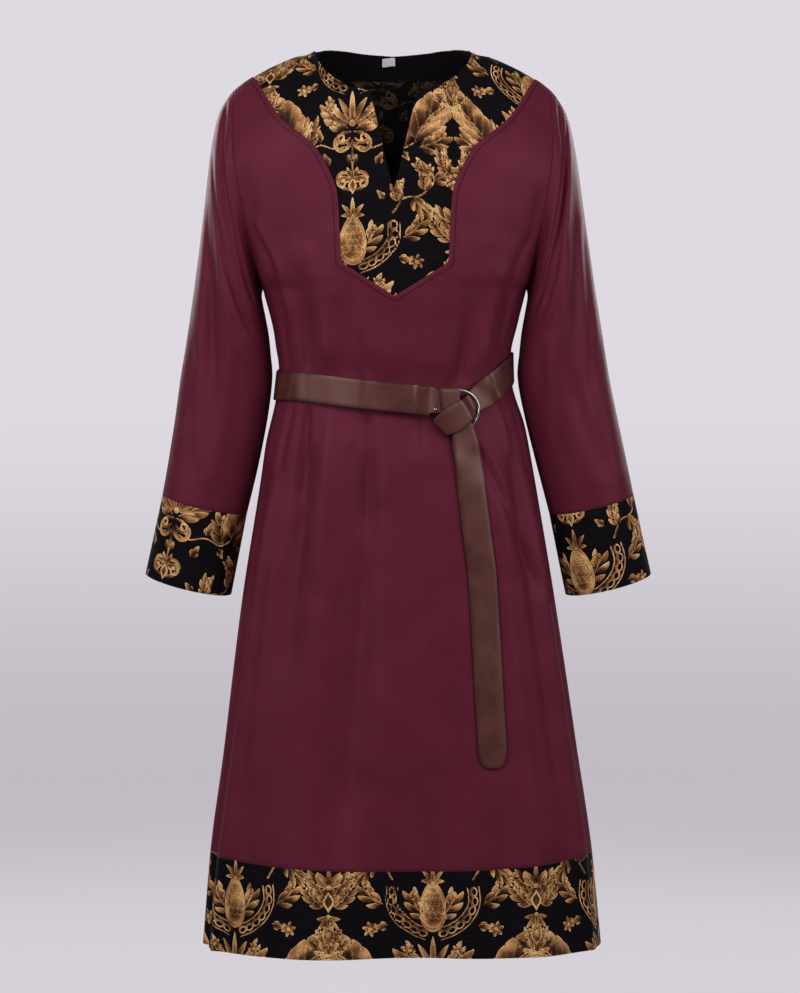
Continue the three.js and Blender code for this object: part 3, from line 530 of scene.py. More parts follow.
FINE_SLEEVE_FOLDS = {
    Side.RIGHT: folds((
        (18, 136, 2.6, 5.8, 8, 9, -3, -6), (34, 118, 3, 6.8, 7, 8, 2, 3),
        (28, 82, 3.6, 7.4, 8, 10, -4, -4), (52, 72, 4.6, 9, 8, 10, -3, -3),
        (94, 122, 5.2, 8.8, 8, 9, -2, -4), (86, 96, 6.6, 9.8, 9, 12, 2, 3),
        (-24, -128, 2.4, 6, 9, 10, -3, -6), (-50, -84, 4.4, 8.6, 9, 10, -4, -3),
        (-70, -112, 3, 7, 8, 9, 2, 3), (-92, -118, 6.2, 9.6, 9, 11, -2, -3),
    )),
    Side.LEFT: folds((
        (20, 148, 1.6, 5, 7, 9, -3, -7), (38, 126, 2.4, 6, 7, 8, 2, 3),
        (26, 60, 4, 8, 8, 10, -3, -4), (104, 66, 5.2, 9.4, 10, 13, -2, -3),
        (124, 112, 5.8, 9.2, 9, 11, -2, -2), (40, 48, 6.4, 9.8, 9, 12, 1, 2),
        (-22, -138, 2, 5.6, 8, 9, -3, -6), (-44, -78, 4, 8.4, 9, 10, -3, -3),
        (-76, -118, 3.4, 7.4, 8, 9, 2, 3), (-100, -112, 6, 9.4, 9, 11, -3, -3),
    )),
}


# ---- cloth pieces
@dataclass
class Patch:
    """A cut of cloth. at: its points in the form's own two coordinates. tri: its triangles."""

    at: Array
    tri: Array

    @staticmethod
    def grid(first: Array, second: Array) -> Patch:
        """A patch with a point at each pair of values, first running across."""
        rows, columns = len(second), len(first)
        a, b = np.meshgrid(first, second)
        i = (np.arange(rows - 1)[:, None] * columns + np.arange(columns - 1)[None]).ravel()
        flip = ((np.arange(rows - 1)[:, None] + np.arange(columns - 1)[None]) % 2 == 0).ravel()
        corner = np.stack([i, i + 1, i + columns + 1, i + columns], axis=1)
        one = np.where(flip[:, None], corner[:, [0, 1, 2]], corner[:, [0, 1, 3]])
        two = np.where(flip[:, None], corner[:, [0, 2, 3]], corner[:, [1, 2, 3]])
        return Patch(np.stack([a.ravel(), b.ravel()], axis=1), np.concatenate([one, two]))

    @staticmethod
    def toward_edge(at: Array, value: Measure, cell: float) -> Array:
        """How far points near a cut stand off it, in the patch's coordinates.

        Args:
            at: The points.
            value: Gives the signed distance in mm.
            cell: The grid's step in mm. A point that would move further than most of it stays.

        Returns:
            The moves to take off, nothing for points on the patch's own rim.
        """
        f = value(at)
        ds = np.where(at[:, 0] > 0, -1e-4, 1e-4)
        zero = np.zeros(len(at))
        gs = (value(at + np.stack([ds, zero], 1)) - f) / ds
        gl = (value(at + np.stack([zero, zero - 0.05], 1)) - f) / -0.05
        scale = 240.0  # about how many mm one unit of s is
        size = np.maximum((gs / scale) ** 2 + gl**2, 1e-9)
        move = np.stack([gs / scale**2, gl], axis=1) * (f / size)[:, None]
        rim = (np.abs(at[:, 0]) > 0.9999) | (at[:, 1] > -0.01)
        far = np.hypot(move[:, 0] * scale, move[:, 1]) > 0.6 * cell
        return np.where((rim | far)[:, None], 0.0, move)

    def keep(self, value: Measure, cell: float) -> Patch:
        """The part of the patch where a distance is positive, with a clean edge.

        Args:
            value: Gives the signed distance in mm at points of the patch.
            cell: The grid's step in mm.

        Returns:
            The new patch.
        """
        at, tri = self.at.copy(), self.tri
        f = value(at)
        near = np.flatnonzero(np.abs(f) < 0.3 * cell)
        move = self.toward_edge(at[near], value, cell)
        good = np.any(move != 0.0, axis=1)
        index = near[good]
        at[index] = at[index] - move[good]
        f[index] = 0.0
        signs = f[tri]
        above, below = (signs > 0).sum(1), (signs < 0).sum(1)
        faces, pairs, made = [tri[(below == 0) & (above > 0)]], [], 0

        def crossing(a: Array, b: Array) -> Array:
            """Note the edges that the cut crosses, and number their new points."""
            nonlocal made
            pairs.append(np.sort(np.stack([a, b], axis=1), axis=1))
            made += len(a)
            return -(np.arange(made - len(a), made) + 1)

        def turned(rows: Array, first: Array) -> Array:
            """Triangles turned so that the marked corner comes first."""
            start = first.argmax(1)
            return np.take_along_axis(rows, (start[:, None] + np.arange(3)) % 3, axis=1)

        lone = (above == 1) & (below == 2)
        a, b, c = turned(tri[lone], signs[lone] > 0).T
        faces.append(np.stack([a, crossing(a, b), crossing(a, c)], axis=1))
        two = (above == 2) & (below == 1)
        c, a, b = turned(tri[two], signs[two] < 0).T
        bc, ca = crossing(b, c), crossing(c, a)
        faces += [np.stack([a, b, bc], axis=1), np.stack([a, bc, ca], axis=1)]
        split = (above == 1) & (below == 1)
        rows = turned(tri[split], signs[split] > 0)
        first_below = f[rows[:, 1]] < 0
        a, b, c = rows[first_below].T
        faces.append(np.stack([a, crossing(a, b), c], axis=1))
        a, b, c = rows[~first_below].T
        faces.append(np.stack([a, b, crossing(a, c)], axis=1))
        keys, inverse = np.unique(np.concatenate(pairs), axis=0, return_inverse=True)
        inverse = inverse.ravel()
        t = (f[keys[:, 0]] / (f[keys[:, 0]] - f[keys[:, 1]]))[:, None]
        crossed = at[keys[:, 0]] * (1 - t) + at[keys[:, 1]] * t
        for _ in range(3):
            crossed = crossed - self.toward_edge(crossed, value, cell)
            at[index] = at[index] - self.toward_edge(at[index], value, cell)
        points = np.concatenate([at, crossed])
        tri = np.concatenate(faces)
        tri = np.where(tri < 0, len(at) + inverse[np.clip(-tri - 1, 0, len(inverse) - 1)], tri)
        used, tri = np.unique(tri, return_inverse=True)
        return Patch(points[used], tri.reshape(-1, 3))


@dataclass
class Shell:
    """A wall of cloth ready to be made a mesh, with its places on the flat cut in mm."""

    points: Array
    tri: Array
    flat: Array  # for each corner of each triangle
    inside: Array  # which triangles face the wearer
    source: Array  # the outer point each point comes from


def lining_of(place: Array, tri: Array, step: Pair) -> Array:
    """Triangles over the same outline as a fine sheet, but far fewer inside it.

    It is as fine as the sheet across the folds, because a longer side would cut through their troughs.

    Args:
        place: The sheet's points laid flat, in mm.
        tri: Its triangles.
        step: How far apart the points inside may be, across the folds and along them, in mm.

    Returns:
        Triangles of the sheet's own points.
    """
    count, place = len(place), place / np.array(step)
    corners = np.concatenate([tri[:, [0, 1]], tri[:, [1, 2]], tri[:, [2, 0]]])
    edge = corners[~np.isin(corners[:, 0] * count + corners[:, 1], corners[:, 1] * count + corners[:, 0])]
    rim = np.unique(edge)
    cell = np.floor(place).astype(np.int64)
    taken = set(map(tuple, np.unique(cell[rim], axis=0)))
    inner = np.setdiff1d(np.unique(tri), rim)
    _, first = np.unique(cell[inner] @ np.array([100003, 1]), return_index=True)
    inner = np.array([i for i in inner[first] if tuple(cell[i]) not in taken], dtype=np.int64)
    used = np.concatenate([rim, inner])
    where = np.full(count, -1)
    where[used] = np.arange(len(used))
    made = delaunay_2d_cdt([Vector(p) for p in place[used]], where[edge].tolist(), [], 1, 1e-5)
    if len(made[0]) != len(used) or not all(made[3]):
        return tri
    faces = np.array([[made[3][v][0] for v in f] for f in made[2]])
    a, b, c = (place[used][faces[:, k]] for k in range(3))
    area = (b[:, 0] - a[:, 0]) * (c[:, 1] - a[:, 1]) - (b[:, 1] - a[:, 1]) * (c[:, 0] - a[:, 0])
    faces[area < 0] = faces[area < 0][:, ::-1]
    return used[faces]


def wall(outer: Array, normal: Array, tri: Array, flat: Array, thick: float, bulge: float,
         lining: Array | None = None) -> Shell:
    """Give a sheet its thickness and a rounded rim.

    Args:
        outer: Its outer points.
        normal: The directions out of the cloth.
        tri: Its triangles.
        flat: The flat place of each corner of each triangle.
        thick: The wall.
        bulge: How far the rim rounds outwards.
        lining: The inner side's triangles, if they are fewer.

    Returns:
        The closed shell.
    """
    count = len(outer)
    under = outer - normal * thick
    lining = tri if lining is None else lining
    corners = np.concatenate([tri[:, [0, 1]], tri[:, [1, 2]], tri[:, [2, 0]]])
    corner_flat = np.concatenate([flat[:, 0], flat[:, 1], flat[:, 2]])
    next_flat = np.concatenate([flat[:, 1], flat[:, 2], flat[:, 0]])
    edge = ~np.isin(corners[:, 0] * count + corners[:, 1], corners[:, 1] * count + corners[:, 0])
    a, b = corners[edge].T
    out = np.zeros((count, 3))
    direction = np.cross(outer[b] - outer[a], normal[a] + normal[b])
    np.add.at(out, a, direction)
    np.add.at(out, b, direction)
    rim = np.unique(np.concatenate([a, b]))
    place = np.full(count, -1)
    place[rim] = np.arange(len(rim))
    out = unit(out[rim])
    middle, radius = (outer[rim] + under[rim]) / 2.0, (outer[rim] - under[rim]) / 2.0
    points, source = [outer], [np.arange(count)]
    rings, total = [np.arange(count)], count
    for k in (1, 2, 3):
        angle = math.pi * k / 4.0
        rings.append(total + place)
        total += len(rim)
        points.append(middle + radius * math.cos(angle) + out * bulge * math.sin(angle))
        source.append(rim)
    used = np.unique(lining)
    index = np.full(count, -1)
    index[used] = np.arange(len(used)) + total
    points.append(under[used])
    source.append(used)
    rings.append(index)
    vertex_flat = np.zeros((count, 2))
    vertex_flat[tri.ravel()] = flat.reshape(-1, 2)
    faces, flats = [tri, index[lining[:, ::-1]]], [flat, vertex_flat[lining[:, ::-1]]]
    fa, fb = corner_flat[edge], next_flat[edge]
    for low, high in zip(rings, rings[1:]):
        faces += [np.stack([low[b], low[a], high[a]], 1), np.stack([low[b], high[a], high[b]], 1)]
        flats += [np.stack([fb, fa, fa], 1), np.stack([fb, fa, fb], 1)]
    inside = np.zeros(sum(len(f) for f in faces), bool)
    inside[len(tri) : len(tri) + len(lining)] = True
    return Shell(np.concatenate(points), np.concatenate(faces), np.concatenate(flats), inside,
                 np.concatenate(source))


def mesh_of(name: str, points: Array, tri: Array, materials: Sequence[Material],
            slot_index: Array | None = None, flat: Array | None = None,
            fields: dict[str, Array] | None = None) -> Object:
    """Make an object of triangles, in metres.

    Args:
        name: The object's name.
        points: Points in mm.
        tri: Triangles.
        materials: Its materials.
        slot_index: Which material each triangle has.
        flat: The flat place of each corner, in mm, which becomes the UV map named cloth.
        fields: Vectors for each point, by attribute name.

    Returns:
        The object, linked to the scene.
    """
    mesh = bpy.data.meshes.new(name)
    mesh.vertices.add(len(points))
    mesh.vertices.foreach_set("co", (points * MM).astype(np.float32).ravel())
    mesh.loops.add(3 * len(tri))
    mesh.loops.foreach_set("vertex_index", tri.astype(np.int32).ravel())
    mesh.polygons.add(len(tri))
    mesh.polygons.foreach_set("loop_start", np.arange(len(tri), dtype=np.int32) * 3)
    mesh.polygons.foreach_set("use_smooth", np.ones(len(tri), bool))
    if slot_index is not None:
        mesh.polygons.foreach_set("material_index", slot_index.astype(np.int32))
    if flat is not None:
        layer = mesh.uv_layers.new(name="cloth")
        layer.uv.foreach_set("vector", flat.astype(np.float32).ravel())
    for key, values in (fields or {}).items():
        mesh.attributes.new(key, "FLOAT_VECTOR", "POINT").data.foreach_set("vector",
                                                                           values.astype(np.float32).ravel())
    mesh.update(calc_edges=True)
    made = bpy.data.objects.new(name, mesh)
    bpy.context.scene.collection.objects.link(made)
    for material in materials:
        mesh.materials.append(material)
    return made


class Ruler:
    """Measures the front or back along the cloth, so that a pattern lies on it as it was woven."""

    def __init__(self, body: BodyForm, face: Face) -> None:
        """Measure a coarse grid of the smooth form, across from the centre and up from the hem."""
        self.s = np.linspace(-1.0, 1.0, 81)
        self.level = np.concatenate([np.linspace(HEM, -140.0, 150),
                                     -140.0 * (1 - np.sin(np.linspace(0.04, 1, 24) * math.pi / 2))])
        grid = body.point(face, *np.meshgrid(self.s, self.level), folded=False)
        across = np.concatenate([np.zeros((len(self.level), 1)),
                                 np.cumsum(norm(np.diff(grid, axis=1), axis=2), axis=1)], axis=1)
        self.across = across - across[:, 40:41]
        self.up = np.concatenate([np.zeros((1, 81)), np.cumsum(norm(np.diff(grid, axis=0), axis=2), axis=0)])

    def __call__(self, at: Array) -> Array:
        """The flat place, in mm, of points given as s and level."""
        j = np.clip((at[..., 0] + 1.0) * 40.0, 0, 79.9999)
        i = np.clip(np.interp(at[..., 1], self.level, np.arange(len(self.level))), 0,
                    len(self.level) - 1.0001)
        j0, i0 = j.astype(int), i.astype(int)
        tj, ti = j - j0, i - i0

        def read(table: Array) -> Array:
            """The table's value between its four nearest places."""
            low = table[i0, j0] * (1 - tj) + table[i0, j0 + 1] * tj
            high = table[i0 + 1, j0] * (1 - tj) + table[i0 + 1, j0 + 1] * tj
            return low * (1 - ti) + high * ti

        return np.stack([read(self.across), read(self.up)], axis=-1)


@dataclass(frozen=True)
class Outline:
    """A closed outline seen from the front, as points of x and z."""

    points: Array

    def distance(self, x: Array, z: Array) -> Array:
        """Signed distances to it, positive outside."""
        best = np.full(x.shape, 1e9)
        inside = np.zeros(x.shape, bool)
        ends = np.roll(self.points, -1, axis=0)
        for (ax, az), (bx, bz) in zip(self.points, ends):
            dx, dz = bx - ax, bz - az
            t = np.clip(((x - ax) * dx + (z - az) * dz) / max(dx * dx + dz * dz, 1e-9), 0.0, 1.0)
            best = np.minimum(best, (x - ax - t * dx) ** 2 + (z - az - t * dz) ** 2)
            crosses = (az > z) != (bz > z)
            inside ^= crosses & (x < ax + (z - az) * dx / (dz if dz else 1e-9))
        return np.sqrt(best) * np.where(inside, -1.0, 1.0)

    def path(self, grow: float, count: int, low: float, high: float) -> Array:
        """Points along the outline moved outwards, between two heights.

        Args:
            grow: How far outwards.
            count: How many points before the ends are cut off.
            low: The lowest z.
            high: The highest z.

        Returns:
            The points kept.
        """
        line = np.asarray(self.points)
        keys = run_along(line)
        at = np.linspace(0.0, keys[-1], count)
        points = np.stack([np.interp(at, keys, line[:, c]) for c in (0, 1)], axis=1)
        ahead = unit(np.gradient(points, axis=0))
        area = np.sum(line[:, 0] * np.roll(line[:, 1], -1) - np.roll(line[:, 0], -1) * line[:, 1])
        normal = np.stack([ahead[:, 1], -ahead[:, 0]], axis=1) * np.sign(area)
        points = points + normal * grow
        return points[(points[:, 1] > low) & (points[:, 1] < high)]


def mirrored(half: Rows, lean: float) -> Outline:
    """A whole outline from its left half, given from the top down to the centre line."""
    rows = np.asarray(half, float)
    other = rows[rows[:, 0] > 0][::-1] * np.array([-1.0, 1.0])
    return Outline(np.concatenate([rows, other]) + np.array([lean, 0.0]))


# ---- finishes
class Nodes:
    """Shorthand for building a node tree. An input is a number, a colour or another node's output."""

    def __init__(self, tree: NodeTree) -> None:
        """Keep the tree."""
        self.tree = tree

    def fill(self, node: Node, values: dict) -> Node:
        """Set a node's inputs, by name or number."""
        for key, value in values.items():
            if isinstance(value, NodeSocket):
                self.tree.links.new(value, node.inputs[key])
            else:
                node.inputs[key].default_value = value
        return node

    def add(self, kind: str, values: dict | None = None, **props: object) -> Node:
        """Add a node of a type, with its inputs and its own settings."""
        node = self.tree.nodes.new(kind)
        for key, value in props.items():
            setattr(node, key, value)
        return self.fill(node, values or {})

    def math(self, operation: str, a: object, b: object = 0.0, c: object = 0.0) -> NodeSocket:
        """The result of a Math node on numbers or outputs."""
        return self.add("ShaderNodeMath", {0: a, 1: b, 2: c}, operation=operation).outputs[0]

    def mix(self, share: object, a: object, b: object) -> NodeSocket:
        """A colour between two."""
        return self.add("ShaderNodeMix", {0: share, 6: a, 7: b}, data_type="RGBA").outputs[2]

    def range(self, value: object, low: float, high: float, to_low: float = 0.0,
              to_high: float = 1.0) -> NodeSocket:
        """A value carried smoothly from one range to another."""
        settings = {0: value, 1: low, 2: high, 3: to_low, 4: to_high}
        return self.add("ShaderNodeMapRange", settings, interpolation_type="SMOOTHSTEP").outputs[0]

    def noise(self, at: NodeSocket, scale: float, detail: float,
              stretch: Triple | None = None) -> NodeSocket:
        """A noise at places, which may be stretched first."""
        if stretch:
            at = self.add("ShaderNodeMapping", {0: at, 3: stretch}).outputs[0]
        return self.add("ShaderNodeTexNoise", {"Vector": at, "Scale": scale, "Detail": detail}).outputs[0]

    def parts(self, vector: NodeSocket) -> list[NodeSocket]:
        """A vector's three numbers."""
        return list(self.add("ShaderNodeSeparateXYZ", {0: vector}).outputs)

    def field(self, name: str) -> list[NodeSocket]:
        """The three numbers of one of the mesh's attributes."""
        return self.parts(self.add("ShaderNodeAttribute", attribute_name=name).outputs["Vector"])

    def cloth(self) -> NodeSocket:
        """Places on the flat cloth, in mm."""
        return self.add("ShaderNodeUVMap", uv_map="cloth").outputs[0]

    def bump(self, height: NodeSocket, strength: float, distance: float) -> NodeSocket:
        """A normal from a height."""
        return self.add("ShaderNodeBump",
                        {"Height": height, "Strength": strength, "Distance": distance}).outputs[0]

    def weave(self, warp: float, weft: float, twill: float = 0.0) -> Node:
        """The shared threads of a woven cloth, with this cloth's numbers."""
        return self.add("ShaderNodeGroup", {"Warp": warp, "Weft": weft, "Twill": twill},
                        node_tree=weave_group())


def effect(name: str, inputs: dict[str, float], outputs: dict[str, str],
           build: Callable[[Nodes, Node, Node], None]) -> NodeTree:
    """Make a shader node group once.

    Args:
        name: Its name.
        inputs: Its numbers and their defaults.
        outputs: Its outputs, each a socket type.
        build: Fills it, given its nodes and its input and output nodes.

    Returns:
        The group.
    """
    if name in bpy.data.node_groups:
        return bpy.data.node_groups[name]
    tree = bpy.data.node_groups.new(name, "ShaderNodeTree")
    for key, value in inputs.items():
        tree.interface.new_socket(key, in_out="INPUT", socket_type="NodeSocketFloat").default_value = value
    for key, kind in outputs.items():
        tree.interface.new_socket(key, in_out="OUTPUT", socket_type=kind)
    nodes = Nodes(tree)
    build(nodes, tree.nodes.new("NodeGroupInput"), tree.nodes.new("NodeGroupOutput"))
    return tree


def weave_group() -> NodeTree:
    """Threads of a woven cloth on the UV map named cloth: a height, and a slow unevenness."""

    def build(n: Nodes, given: Node, out: Node) -> None:
        """Fill the group."""
        uv = n.cloth()
        u, v, _ = n.parts(uv)
        warp = n.math("SINE", n.math("MULTIPLY", u, given.outputs["Warp"]))
        shifted = n.math("ADD", v, n.math("MULTIPLY", u, given.outputs["Twill"]))
        weft = n.math("SINE", n.math("MULTIPLY", shifted, given.outputs["Weft"]))
        slub = n.noise(uv, 3.0, 3.0, (0.012, 0.3, 1.0))
        threads = n.math("MULTIPLY_ADD", warp, 0.35, n.math("MULTIPLY", weft, 0.65))
        height = n.math("MULTIPLY_ADD", slub, 0.8, threads)
        n.fill(out, {"Height": height, "Cloud": n.noise(uv, 0.02, 2.0), "Slub": slub})

    return effect("Woven threads", {"Warp": 12.0, "Weft": 9.0, "Twill": 0.0},
                  {"Height": "NodeSocketFloat", "Cloud": "NodeSocketFloat", "Slub": "NodeSocketFloat"},
                  build)


def new_material(name: str) -> tuple[Material, Nodes, Node]:
    """A material with its nodes and its shader."""
    material = bpy.data.materials.new(name)
    material.use_nodes = True
    return material, Nodes(material.node_tree), material.node_tree.nodes["Principled BSDF"]


SEWN_AWAY = 6.2  # how far beside the yoke the satin is sewn down


@dataclass(frozen=True)
class Satin:
    """Wine-red satin, smooth with a soft sheen, with painted shade in the sewn crease beside the yoke."""

    name: str = "wine satin"
    face: Triple = (101, 36, 54)
    deep: Triple = (95, 32, 49)
    roughness: float = 0.46
    sheen: float = 0.1

    def make(self) -> Material:
        """Build the material."""
        material, n, shader = new_material(self.name)
        weave = n.weave(9.0, 14.0, 0.5)
        tint = n.mix(n.range(weave.outputs["Cloud"], 0.3, 0.7), colour(*self.deep), colour(*self.face))
        # Painted shade: along the sewn line beside the yoke the satin is darkened, as the shadow of the
        # crease that the bump sinks there.
        beside = n.math("ABSOLUTE", n.math("SUBTRACT", n.field("edge")[0], SEWN_AWAY))
        sewn = n.math("SUBTRACT", 1.0, n.range(beside, 0.2, 1.7))
        height = n.math("MULTIPLY_ADD", sewn, -12.0, weave.outputs["Height"])
        n.fill(shader, {
            # painted shade in the sewn crease, mixed towards a deep wine
            "Base Color": n.mix(n.math("MULTIPLY", sewn, 0.62), tint, colour(38, 13, 20)),
            "Roughness": n.range(weave.outputs["Slub"], 0.3, 0.7, self.roughness - 0.03,
                                 self.roughness + 0.04),
            "Normal": n.bump(height, 0.14, 0.00006),
            "Sheen Weight": self.sheen, "Sheen Roughness": 0.4, "Sheen Tint": colour(170, 80, 100),
            "Specular IOR Level": 0.2, "Specular Tint": colour(255, 160, 178), "Anisotropic": 0.3,
        })
        return material


@dataclass(frozen=True)
class Plain:
    """A plain finish for small pieces and the wrong side of cloth."""

    name: str
    tint: Triple
    roughness: float = 0.6
    metallic: float = 0.0
    scale: float = 900.0
    depth: float = 0.00005

    def make(self) -> Material:
        """Build the material."""
        material, n, shader = new_material(self.name)
        grain = n.noise(n.add("ShaderNodeTexCoord").outputs["Object"], self.scale, 3.0)
        n.fill(shader, {
            "Base Color": n.mix(grain, colour(*(0.82 * c for c in self.tint)), colour(*self.tint)),
            "Normal": n.bump(grain, 0.3, self.depth),
            "Roughness": n.range(grain, 0.3, 0.7, self.roughness - 0.05, self.roughness + 0.05),
            "Metallic": self.metallic,
        })
        return material


@dataclass(frozen=True)
class Brocade:
    """Black velvet-like ground with woven gold figures, read from the attribute named figure."""

    name: str = "gold brocade"
    # Below 1, the figures' colours are darkened as painted shade, for brocade that lies in shade.
    painted_shade: float = 1.0

    def make(self) -> Material:
        """Build the material."""
        material, n, shader = new_material(self.name)
        inside, share, across = n.field("figure")
        weave = n.weave(8.0, 8.0)
        uv = n.cloth()
        u, v, _ = n.parts(uv)
        fray = n.noise(uv, 1.1, 1.0)
        ragged = n.math("ADD", inside, n.math("MULTIPLY", n.math("SUBTRACT", fray, 0.5), 0.55))
        figure = n.range(ragged, -0.14, 0.14)
        rim = n.math("SUBTRACT", 1.0, n.range(ragged, 0.35, 1.05))
        slanted = n.math("MULTIPLY_ADD", u, 0.8, n.math("MULTIPLY", v, 2.5))
        yarn = n.math("SINE", n.math("MULTIPLY_ADD", fray, 5.0, slanted))
        relief = n.math("MULTIPLY", across, n.math("SUBTRACT", 1.15, share))
        light = n.math("MULTIPLY_ADD", relief, 0.34, n.range(share, 0.0, 0.95, 0.08, 0.74))
        light = n.math("MULTIPLY_ADD", rim, 0.3, light)
        light = n.math("MULTIPLY_ADD", yarn, 0.13, light)
        light = n.math("ADD", light, n.range(n.noise(uv, 0.05, 3.0), 0.3, 0.7, -0.26, 0.18))
        ramp = n.add("ShaderNodeValToRGB", {0: light})
        stops = ramp.color_ramp.elements
        # Painted shade: every colour of the figures' ramp is scaled down by this factor.
        dim = self.painted_shade
        stops[0].position, stops[0].color = 0.0, colour(36 * dim, 22 * dim, 14 * dim)
        stops[1].position, stops[1].color = 1.0, colour(255 * dim, 205 * dim, 142 * dim)
        for position, tint in ((0.3, (98, 60, 34)), (0.62, (186, 128, 74))):
            stops.new(position).color = colour(*(dim * c for c in tint))
        pile = n.noise(uv, 1.0, 4.0, (0.03, 0.7, 1.0))
        ground = n.mix(n.range(pile, 0.5, 0.75), colour(9, 6, 10), colour(27, 20, 28))
        height = n.math("MULTIPLY_ADD", figure, 1.4, n.math("MULTIPLY", weave.outputs["Height"], 0.25))
        height = n.math("ADD", height, n.math("MULTIPLY", n.math("MULTIPLY", yarn, figure), 0.2))
        n.fill(shader, {
            "Base Color": n.mix(figure, ground, ramp.outputs[0]), "Normal": n.bump(height, 0.5, 0.0002),
            "Roughness": n.range(figure, 0.0, 1.0, 0.85, 0.5),
            "Sheen Weight": 0.03, "Sheen Roughness": 0.35, "Specular IOR Level": 0.12,
        })
        return material


@dataclass(frozen=True)
class Leather:
    """Smooth dark brown belt leather with a fine grain and worn edges."""

    name: str = "belt leather"

    def make(self) -> Material:
        """Build the material."""
        material, n, shader = new_material(self.name)
        uv = n.cloth()
        grain = n.add("ShaderNodeTexVoronoi", {"Vector": uv, "Scale": 1.6}).outputs["Distance"]
        cloud = n.noise(uv, 0.035, 4.0)
        tint = n.mix(n.range(cloud, 0.35, 0.65), colour(76, 38, 35), colour(88, 46, 41))
        n.fill(shader, {
            "Base Color": n.mix(n.range(n.field("edge")[0], 0.86, 1.0), tint, colour(48, 26, 24)),
            "Normal": n.bump(grain, 0.16, 0.00012), "Roughness": n.range(cloud, 0.3, 0.7, 0.36, 0.43),
            "Specular IOR Level": 0.62, "Specular Tint": colour(255, 214, 206),
        })
        return material


# ---- the brocade's figures
class Damask:
    """An ordinary damask of leaf sprays, scrolls and palmettes, drawn once and repeated in mirrored halves.

    It is drawn on a fine grid of one half repeat, from simple tapered strokes laid over each other. Each
    place keeps its distance inside a figure, and how far along and across its stroke it lies.
    """

    WIDTH = 340.0
    HEIGHT = 300.0
    STEP = 0.5
    FINER = 1.3  # how much smaller it is woven than it is drawn

    def __init__(self) -> None:
        """Start with a bare ground, then draw the figures."""
        self.columns, self.rows = int(self.WIDTH / 2 / self.STEP), int(self.HEIGHT / self.STEP)
        self.inside = np.full((self.rows, self.columns), -6.0)
        self.share = np.zeros_like(self.inside)
        self.across = np.zeros_like(self.inside)
        self.draw()

    def stroke(self, line: Array, gap: float = 1.3, carve: bool = False, tone: Pair = (0.0, 1.0)) -> None:
        """Lay a tapered stroke, and its mirror image where it meets the edge of the half.

        Args:
            line: Rows of u, v and half width.
            gap: The dark line left round it on what lies below.
            carve: Whether it cuts a dark line instead.
            tone: How light it is at its start and end.
        """
        self.lay(line, gap, carve, tone, 1.0)
        flip = np.array([-1.0, 1.0, 1.0])
        if line[:, 0].min() < 4.0:
            self.lay(line * flip, gap, carve, tone, -1.0)
        if line[:, 0].max() > self.WIDTH / 2 - 4.0:
            self.lay(line * flip + np.array([self.WIDTH, 0.0, 0.0]), gap, carve, tone, -1.0)

    def lay(self, line: Array, gap: float, carve: bool, tone: Pair, hand: float) -> None:
        """Lay one line of u, v and half width over what is there."""
        reach = line[:, 2].max() + 5.0
        low = np.floor((line[:, :2].min(0) - reach) / self.STEP).astype(int)
        high = np.ceil((line[:, :2].max(0) + reach) / self.STEP).astype(int)
        i = np.arange(max(low[0], 0), min(high[0], self.columns))
        j = np.arange(low[1], high[1])
        if not len(i):
            return
        u, v = np.meshgrid((i + 0.5) * self.STEP, (j + 0.5) * self.STEP)
        best = np.full(u.shape, -99.0)
        share, across = np.zeros(u.shape), np.zeros(u.shape)
        steps = norm(np.diff(line[:, :2], axis=0), axis=1)
        total, length = max(steps.sum(), 1e-6), 0.0
        for a, b, size in zip(line, line[1:], steps):
            if size < 1e-6:
                continue
            d = b[:2] - a[:2]
            t = np.clip(((u - a[0]) * d[0] + (v - a[1]) * d[1]) / size**2, 0.0, 1.0)
            x, y = u - a[0] - t * d[0], v - a[1] - t * d[1]
            radius = a[2] + (b[2] - a[2]) * t
            distance = np.hypot(x, y)
            h = radius - distance
            better = h > best
            best = np.where(better, h, best)
            share = np.where(better, (length + t * size) / total, share)
            side = np.sign(d[0] * y - d[1] * x) * distance / np.maximum(radius, 0.3)
            across = np.where(better, side * hand, across)
            length += size
        rows = np.ix_(j % self.rows, i)
        if carve:
            self.inside[rows] = np.minimum(self.inside[rows], -best)
            return
        self.inside[rows] = np.maximum(np.minimum(self.inside[rows], -best - gap), best)
        top = best > -0.5
        self.share[rows] = np.where(top, tone[0] + (tone[1] - tone[0]) * share, self.share[rows])
        self.across[rows] = np.where(top, np.clip(across, -1, 1), self.across[rows])

    @staticmethod
    def curved(u: float, v: float, angle: float, length: float, bend: float, widths: Sequence[float],
               tighten: float = 1.0,
               count: int = 22) -> Array:
        """A tapered line that starts at a place and curves.

        Args:
            u: Where it starts across.
            v: Where it starts upwards.
            angle: Its first direction in degrees, 90 upwards.
            length: Its length.
            bend: Degrees that it turns in all, left if positive.
            widths: Half widths along it.
            tighten: Above 1 the turn gathers towards its end, as in a scroll.
            count: How many points it has.

        Returns:
            Rows of u, v and half width, with the direction at each in radians.
        """
        t = np.linspace(0.0, 1.0, count)
        direction = np.radians(angle + bend * t**tighten)
        step = length / (count - 1)
        us, vs = (start + np.concatenate([[0.0], np.cumsum(way(direction[:-1]) * step)])
                  for start, way in ((u, np.cos), (v, np.sin)))
        width = Curve(np.linspace(0, 1, len(widths)), widths)(t)
        return np.stack([us, vs, width, direction], axis=1)

    def lobe(self, u: float, v: float, angle: float, length: float, bend: float, width: float,
             gap: float = 1.3) -> None:
        """Lay one pointed lobe, dark at its foot and light at its tip."""
        widths = (width * 0.35, width * 0.8, width, width * 0.75, 0.35)
        self.stroke(self.curved(u, v, angle, length, bend, widths, count=12)[:, :3], gap)

    def dot(self, u: float, v: float, radius: float, gap: float, tone: float) -> None:
        """Lay a round dot."""
        self.stroke(np.array([(u, v, radius), (u + 0.3, v, radius)]), gap, tone=(tone, tone))

